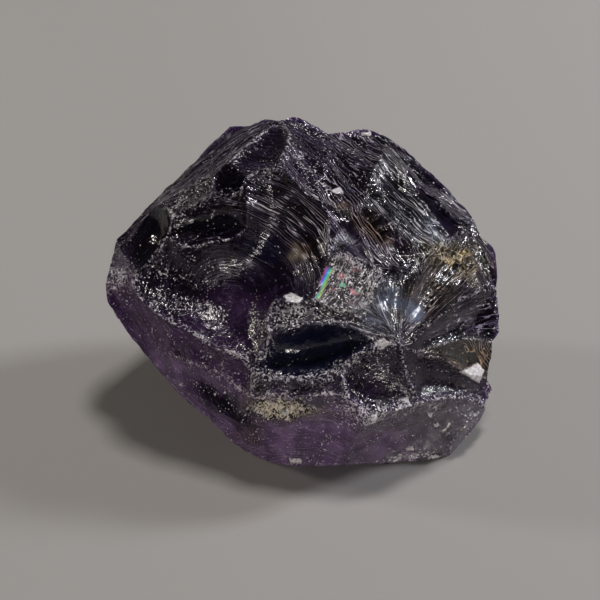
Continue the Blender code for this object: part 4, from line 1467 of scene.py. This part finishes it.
# %% [markdown]
# ### Ripples and streaks
# Both are drawn on the map of the blow, which gives each place its distance from the blow and its
# bearing. A ripple is a folded wave of the distance, drawn as a thin bright line where its edge
# catches the light. A crack never runs at one speed, so real ripples fork, come in groups and
# leave smooth lanes between them: cloudy noise bends the distance and opens those lanes. A streak
# is where noise that is stretched along the rays crosses its own middle value.

# %% Ripples and streaks
# Each product with the distance or the bearing says how far a pattern is stretched that way
fine = noise(1.9, 3.0, 0.6)
groups = noise(0.45, 2.0)
wobble = noise(0.3, 1.0)
bent = sum_of((distance, 1.0), (wobble, 1.2))
ring_place = add("CombineXYZ", {"X": bent, "Y": product(bearing, 0.17)}).outputs[0]
rings = on_map(0.85, ring_place)
ray_place = add("CombineXYZ", {"X": product(distance, 0.09), "Y": bearing}).outputs[0]
rays = on_map(0.80, ray_place)
fine_rays = on_map(1.8, ray_place, 1.0)

lane_place = add("CombineXYZ", {"X": bent, "Y": product(bearing, 0.10)}).outputs[0]
lanes = ramp(on_map(0.32, lane_place), 0.45, 0.58)

arc_phase = sum_of((bent, 2.2), (rings, 1.9))
arcs = add("Math", {0: arc_phase, 1: 0.5}, operation="PINGPONG").outputs[0]
arc_lines = product(ramp(arcs, 0.085, 0.035), product(lanes, ripple))
ring_lines = product(thin_line(rings), product(ramp(groups, 0.60, 0.40), ripple))
ray_lines = product(thin_line(rays), product(ramp(groups, 0.32, 0.56), streak))
ray_hairs = product(thin_line(fine_rays), product(ramp(groups, 0.62, 0.44), streak))

# %% [markdown]
# ### Crushed quartz, grit and dust
# White stands where the crack went slow or a ridge was knocked. Close up it is not a coat but a
# tangle of tiny bright edges with dark quartz between them: dense beside a crushed ridge, thin over
# a grainy break, with loose dust on top. The real grit is a tenth of a millimetre and less. It is
# drawn about twice as coarse, which is the finest that shows from here. White paint could be mixed
# in evenly instead, but it would only turn the black quartz grey.

# %% Crushed quartz, grit and dust
coarse = noise(0.6, 2.0, 0.5)
tangle = noise(1.15, 2.5, 0.55, distortion=0.8)
# How dense the tangle is at a place sets how wide its bright edges are there, and how bright
dense = sum_of((crushed, 1.05), (coarse, 0.70), (1.0, -0.35))
width = sum_of((ramp(dense, 0.10, 1.1), 0.053), (ramp(grain, 0.1, 1.0), 0.012), (coarse, 0.01))
gap = add("Math", {0: sum_of((tangle, 1.0), (1.0, -0.5))}, operation="ABSOLUTE").outputs[0]
edges = ramp(sum_of((width, 1.0), (gap, -1.0)), -0.004, 0.012)
strong = sum_of((ramp(dense, 0.1, 0.7), 1.0), (grain, 0.20))
edges = product(edges, add("Math", {0: strong, 1: 1.0}, operation="MINIMUM").outputs[0])


def specks(per_mm, level, bunched):
    """Dust where a cloudy noise passes a level, which is lower where it is grainy or crushed."""
    crowd = sum_of((noise(per_mm, 1.0), 1.0), (grain, 0.18), (crushed, 0.08), (groups, bunched))
    return ramp(crowd, level, level + 0.02)


def brightest(*shares):
    """The largest of several numbers."""
    top = shares[0]
    for share in shares[1:]:
        top = add("Math", {0: top, 1: share}, operation="MAXIMUM").outputs[0]
    return top


# Lines are broken off where the fine noise is low, and sooner where the skin is grainy
break_at = sum_of((grain, 0.28), (1.0, 0.16))
unbroken = ramp(fine, break_at, sum_of((break_at, 1.0), (1.0, 0.14)))
white = brightest(
    ramp(crushed, 1.3, 1.5),  # flakes, which alone are crushed so strongly
    product(edges, ramp(fine, 0.25, 0.60)),
    product(arc_lines, product(unbroken, 0.72)),
    product(ring_lines, product(unbroken, 0.80)),
    product(ray_lines, product(unbroken, 0.70)),
    product(ray_hairs, product(unbroken, 0.40)),
    specks(2.0, 1.080, 0.42),
    specks(3.6, 1.000, 0.42),
    specks(5.5, 0.900, 0.14),
)
white = add("Math", {0: white, 1: 1.0}, operation="MINIMUM").outputs[0]

# %% [markdown]
# ### The skin's relief
# All heights are added up in millimetres and given to one Bump node, so that they keep their true
# proportions to each other: ripples and streaks of about a tenth of a millimetre, and crushed
# quartz as small flat facets, each tilted its own way, so that a few of them glint at a time.

# %% Relief
FACETS_PER_MM = 3.4
cells = add("TexVoronoi", {"Vector": in_mm, "Scale": FACETS_PER_MM})
from_middle = add("VectorMath", {0: in_mm, 1: cells.outputs["Position"]}, operation="SUBTRACT")
tilt = add("VectorMath", {0: cells.outputs["Color"], 1: (0.5, 0.5, 0.5)}, operation="SUBTRACT")
across_facet = {0: tilt.outputs[0], 1: from_middle.outputs[0]}
facets = add("VectorMath", across_facet, operation="DOT_PRODUCT")
glitter = ramp(sum_of((crushed, 0.9), (grain, 0.7), (coarse, 1.0), (1.0, -0.62)), 0.05, 0.8)
height = sum_of(
    (product(rings, ripple), 0.130),
    (product(arcs, ripple), 0.070),
    (product(rays, streak), 0.170),
    (product(fine_rays, streak), 0.080),
    (product(tangle, grain), 0.170),
    (product(tangle, crushed), 0.200),
    (product(facets.outputs["Value"], glitter), 1.30),
    (noise(1.4, 3.0, 0.6), 0.050),
    (white, 0.020),
)
bump = add("Bump", {"Height": height, "Distance": MM, "Strength": 1.0})

# %% [markdown]
# ### Colour and clearness
# Crushed quartz is nearly white, and iron stains it cream or ochre. The stain is only in the
# crushed quartz: between its strokes the sound quartz is dark, so it reads as gold on black and
# not as a yellow coat. Haze lies under the skin in clouds. Where there is none and nothing is
# crushed, the light goes straight in.

# %% Colour
powder = add(
    "MixRGB",
    {
        "Fac": ramp(fine, 0.35, 0.65),
        "Color1": solid_colour("#d8d0d8"),
        "Color2": solid_colour("#ffffff"),
    },
).outputs[0]
stained = add("MixRGB", {"Fac": stain, "Color1": powder, "Color2": tint.outputs["Color"]})
between = add(
    "MixRGB",
    {"Fac": stain, "Color1": tint.outputs["Color"], "Color2": solid_colour("#2a2038")},
)
colour = add("MixRGB", {"Fac": white, "Color1": between.outputs[0], "Color2": stained.outputs[0]})
clouds = sum_of((ramp(noise(0.5, 4.0, 0.6), 0.30, 0.70), 0.8), (1.0, 0.60))
milky = product(haze, clouds)
clear = product(sum_of((milky, -1.0), (1.0, 1.0)), sum_of((white, -1.0), (1.0, 1.0)))
rough = sum_of((skin_rough, 1.0), (white, 0.35), (fine, 0.06))

# %% The shader
QUARTZ_IOR = 1.544
GLOSS = 0.18  # 0.5 is the gloss of a clean polish; fresh breaks with fine relief mirror less
PURPLE = (0.44, 0.14, 0.60, 1.0)  # red, green and blue: the lower, the sooner it is swallowed
SWALLOWED = 6500.0  # for each metre

shader = add(
    "BsdfPrincipled",
    {
        "Base Color": colour.outputs[0],
        "Transmission Weight": clear,
        "Roughness": rough,
        "IOR": QUARTZ_IOR,
        "Specular IOR Level": GLOSS,
        "Normal": bump.outputs[0],
    },
)
depth = add("VolumeAbsorption", {"Color": PURPLE, "Density": SWALLOWED})
output = add("OutputMaterial")
tree.links.new(shader.outputs[0], output.inputs["Surface"])
tree.links.new(depth.outputs[0], output.inputs["Volume"])
stone.data.materials.append(material)
print("amethyst quartz:", len(tree.nodes), "nodes")

# %% [markdown]
# ## In the frame
# The fine stone rides on the plain solid's body and stands for the plain solid, which stays where
# it is for contact.

# %% Frame
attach(stone, "root")
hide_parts("amethyst")

# %% [markdown]
# ## Floor and light
# A pale floor, a lamp overhead, a stronger one at the right that the fan and the steps mirror, a
# warmer one at the left, and a low one in front, which lights the crushed ridges and is mirrored by
# few scars. The lamps are small, so that a facet glints or stays dark. The room is dim, because
# every glossy scar mirrors it, and a bright one would veil the black.

# %% Floor
FLOOR_RADIUS = 3.0  # m
FLOOR_SIDES = 64
FLOOR_HEIGHT = -0.00005  # m; just under the stone, so that the two never share a plane

turns = np.linspace(0.0, 2 * math.pi, FLOOR_SIDES + 1)[:-1]
ring = np.column_stack([np.cos(turns), np.sin(turns), np.zeros(FLOOR_SIDES)]) * FLOOR_RADIUS
ring[:, 2] = FLOOR_HEIGHT
floor_mesh = bpy.data.meshes.new("floor")
floor_mesh.from_pydata(ring.tolist(), [], [list(range(FLOOR_SIDES))])
floor = bpy.data.objects.new("floor", floor_mesh)
show(floor)
paint = bpy.data.materials.new("matt grey paint")
paint.use_nodes = True
paint_inputs = paint.node_tree.nodes["Principled BSDF"].inputs
paint_inputs["Base Color"].default_value = solid_colour("#a8a6a3")
paint_inputs["Roughness"].default_value = 0.8
floor_mesh.materials.append(paint)
floor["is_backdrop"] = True


# %% Lamps
LAMPS_FACE = Vector((0.0, 0.0, 0.016))  # the middle of the stone


def lamp(name, direction, distance, side, watts, code):
    """A square lamp of a side in metres, so far from the stone in a direction, facing it."""
    data = bpy.data.lights.new(name, "AREA")
    data.size = side
    data.energy = watts
    data.color = hex_to_linear(code)
    made = bpy.data.objects.new(name, data)
    towards = Vector(direction).normalized()
    made.location = towards * distance + LAMPS_FACE
    made.rotation_euler = towards.to_track_quat("Z", "Y").to_euler()
    show(made)


lamp("top lamp", (0.15, 0.25, 1.0), 0.80, 0.15, 2.8, "#fffaf6")
lamp("right lamp", (0.80, 0.30, 0.50), 0.80, 0.12, 3.3, "#f8f8ff")
lamp("left lamp", (-0.80, 0.25, 0.40), 0.90, 0.12, 1.8, "#fff4ea")
lamp("front lamp", (0.25, -0.95, 0.10), 0.90, 0.18, 2.3, "#fff6f2")

world = bpy.data.worlds.new("room")
world.use_nodes = True
world_inputs = world.node_tree.nodes["Background"].inputs
world_inputs["Color"].default_value = solid_colour("#d4d0cc")
world_inputs["Strength"].default_value = 0.045
bpy.context.scene.world = world
bpy.context.scene.view_settings.view_transform = "Standard"

# %% Sizes
new_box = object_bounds()
tell_box("the fine stone", new_box)
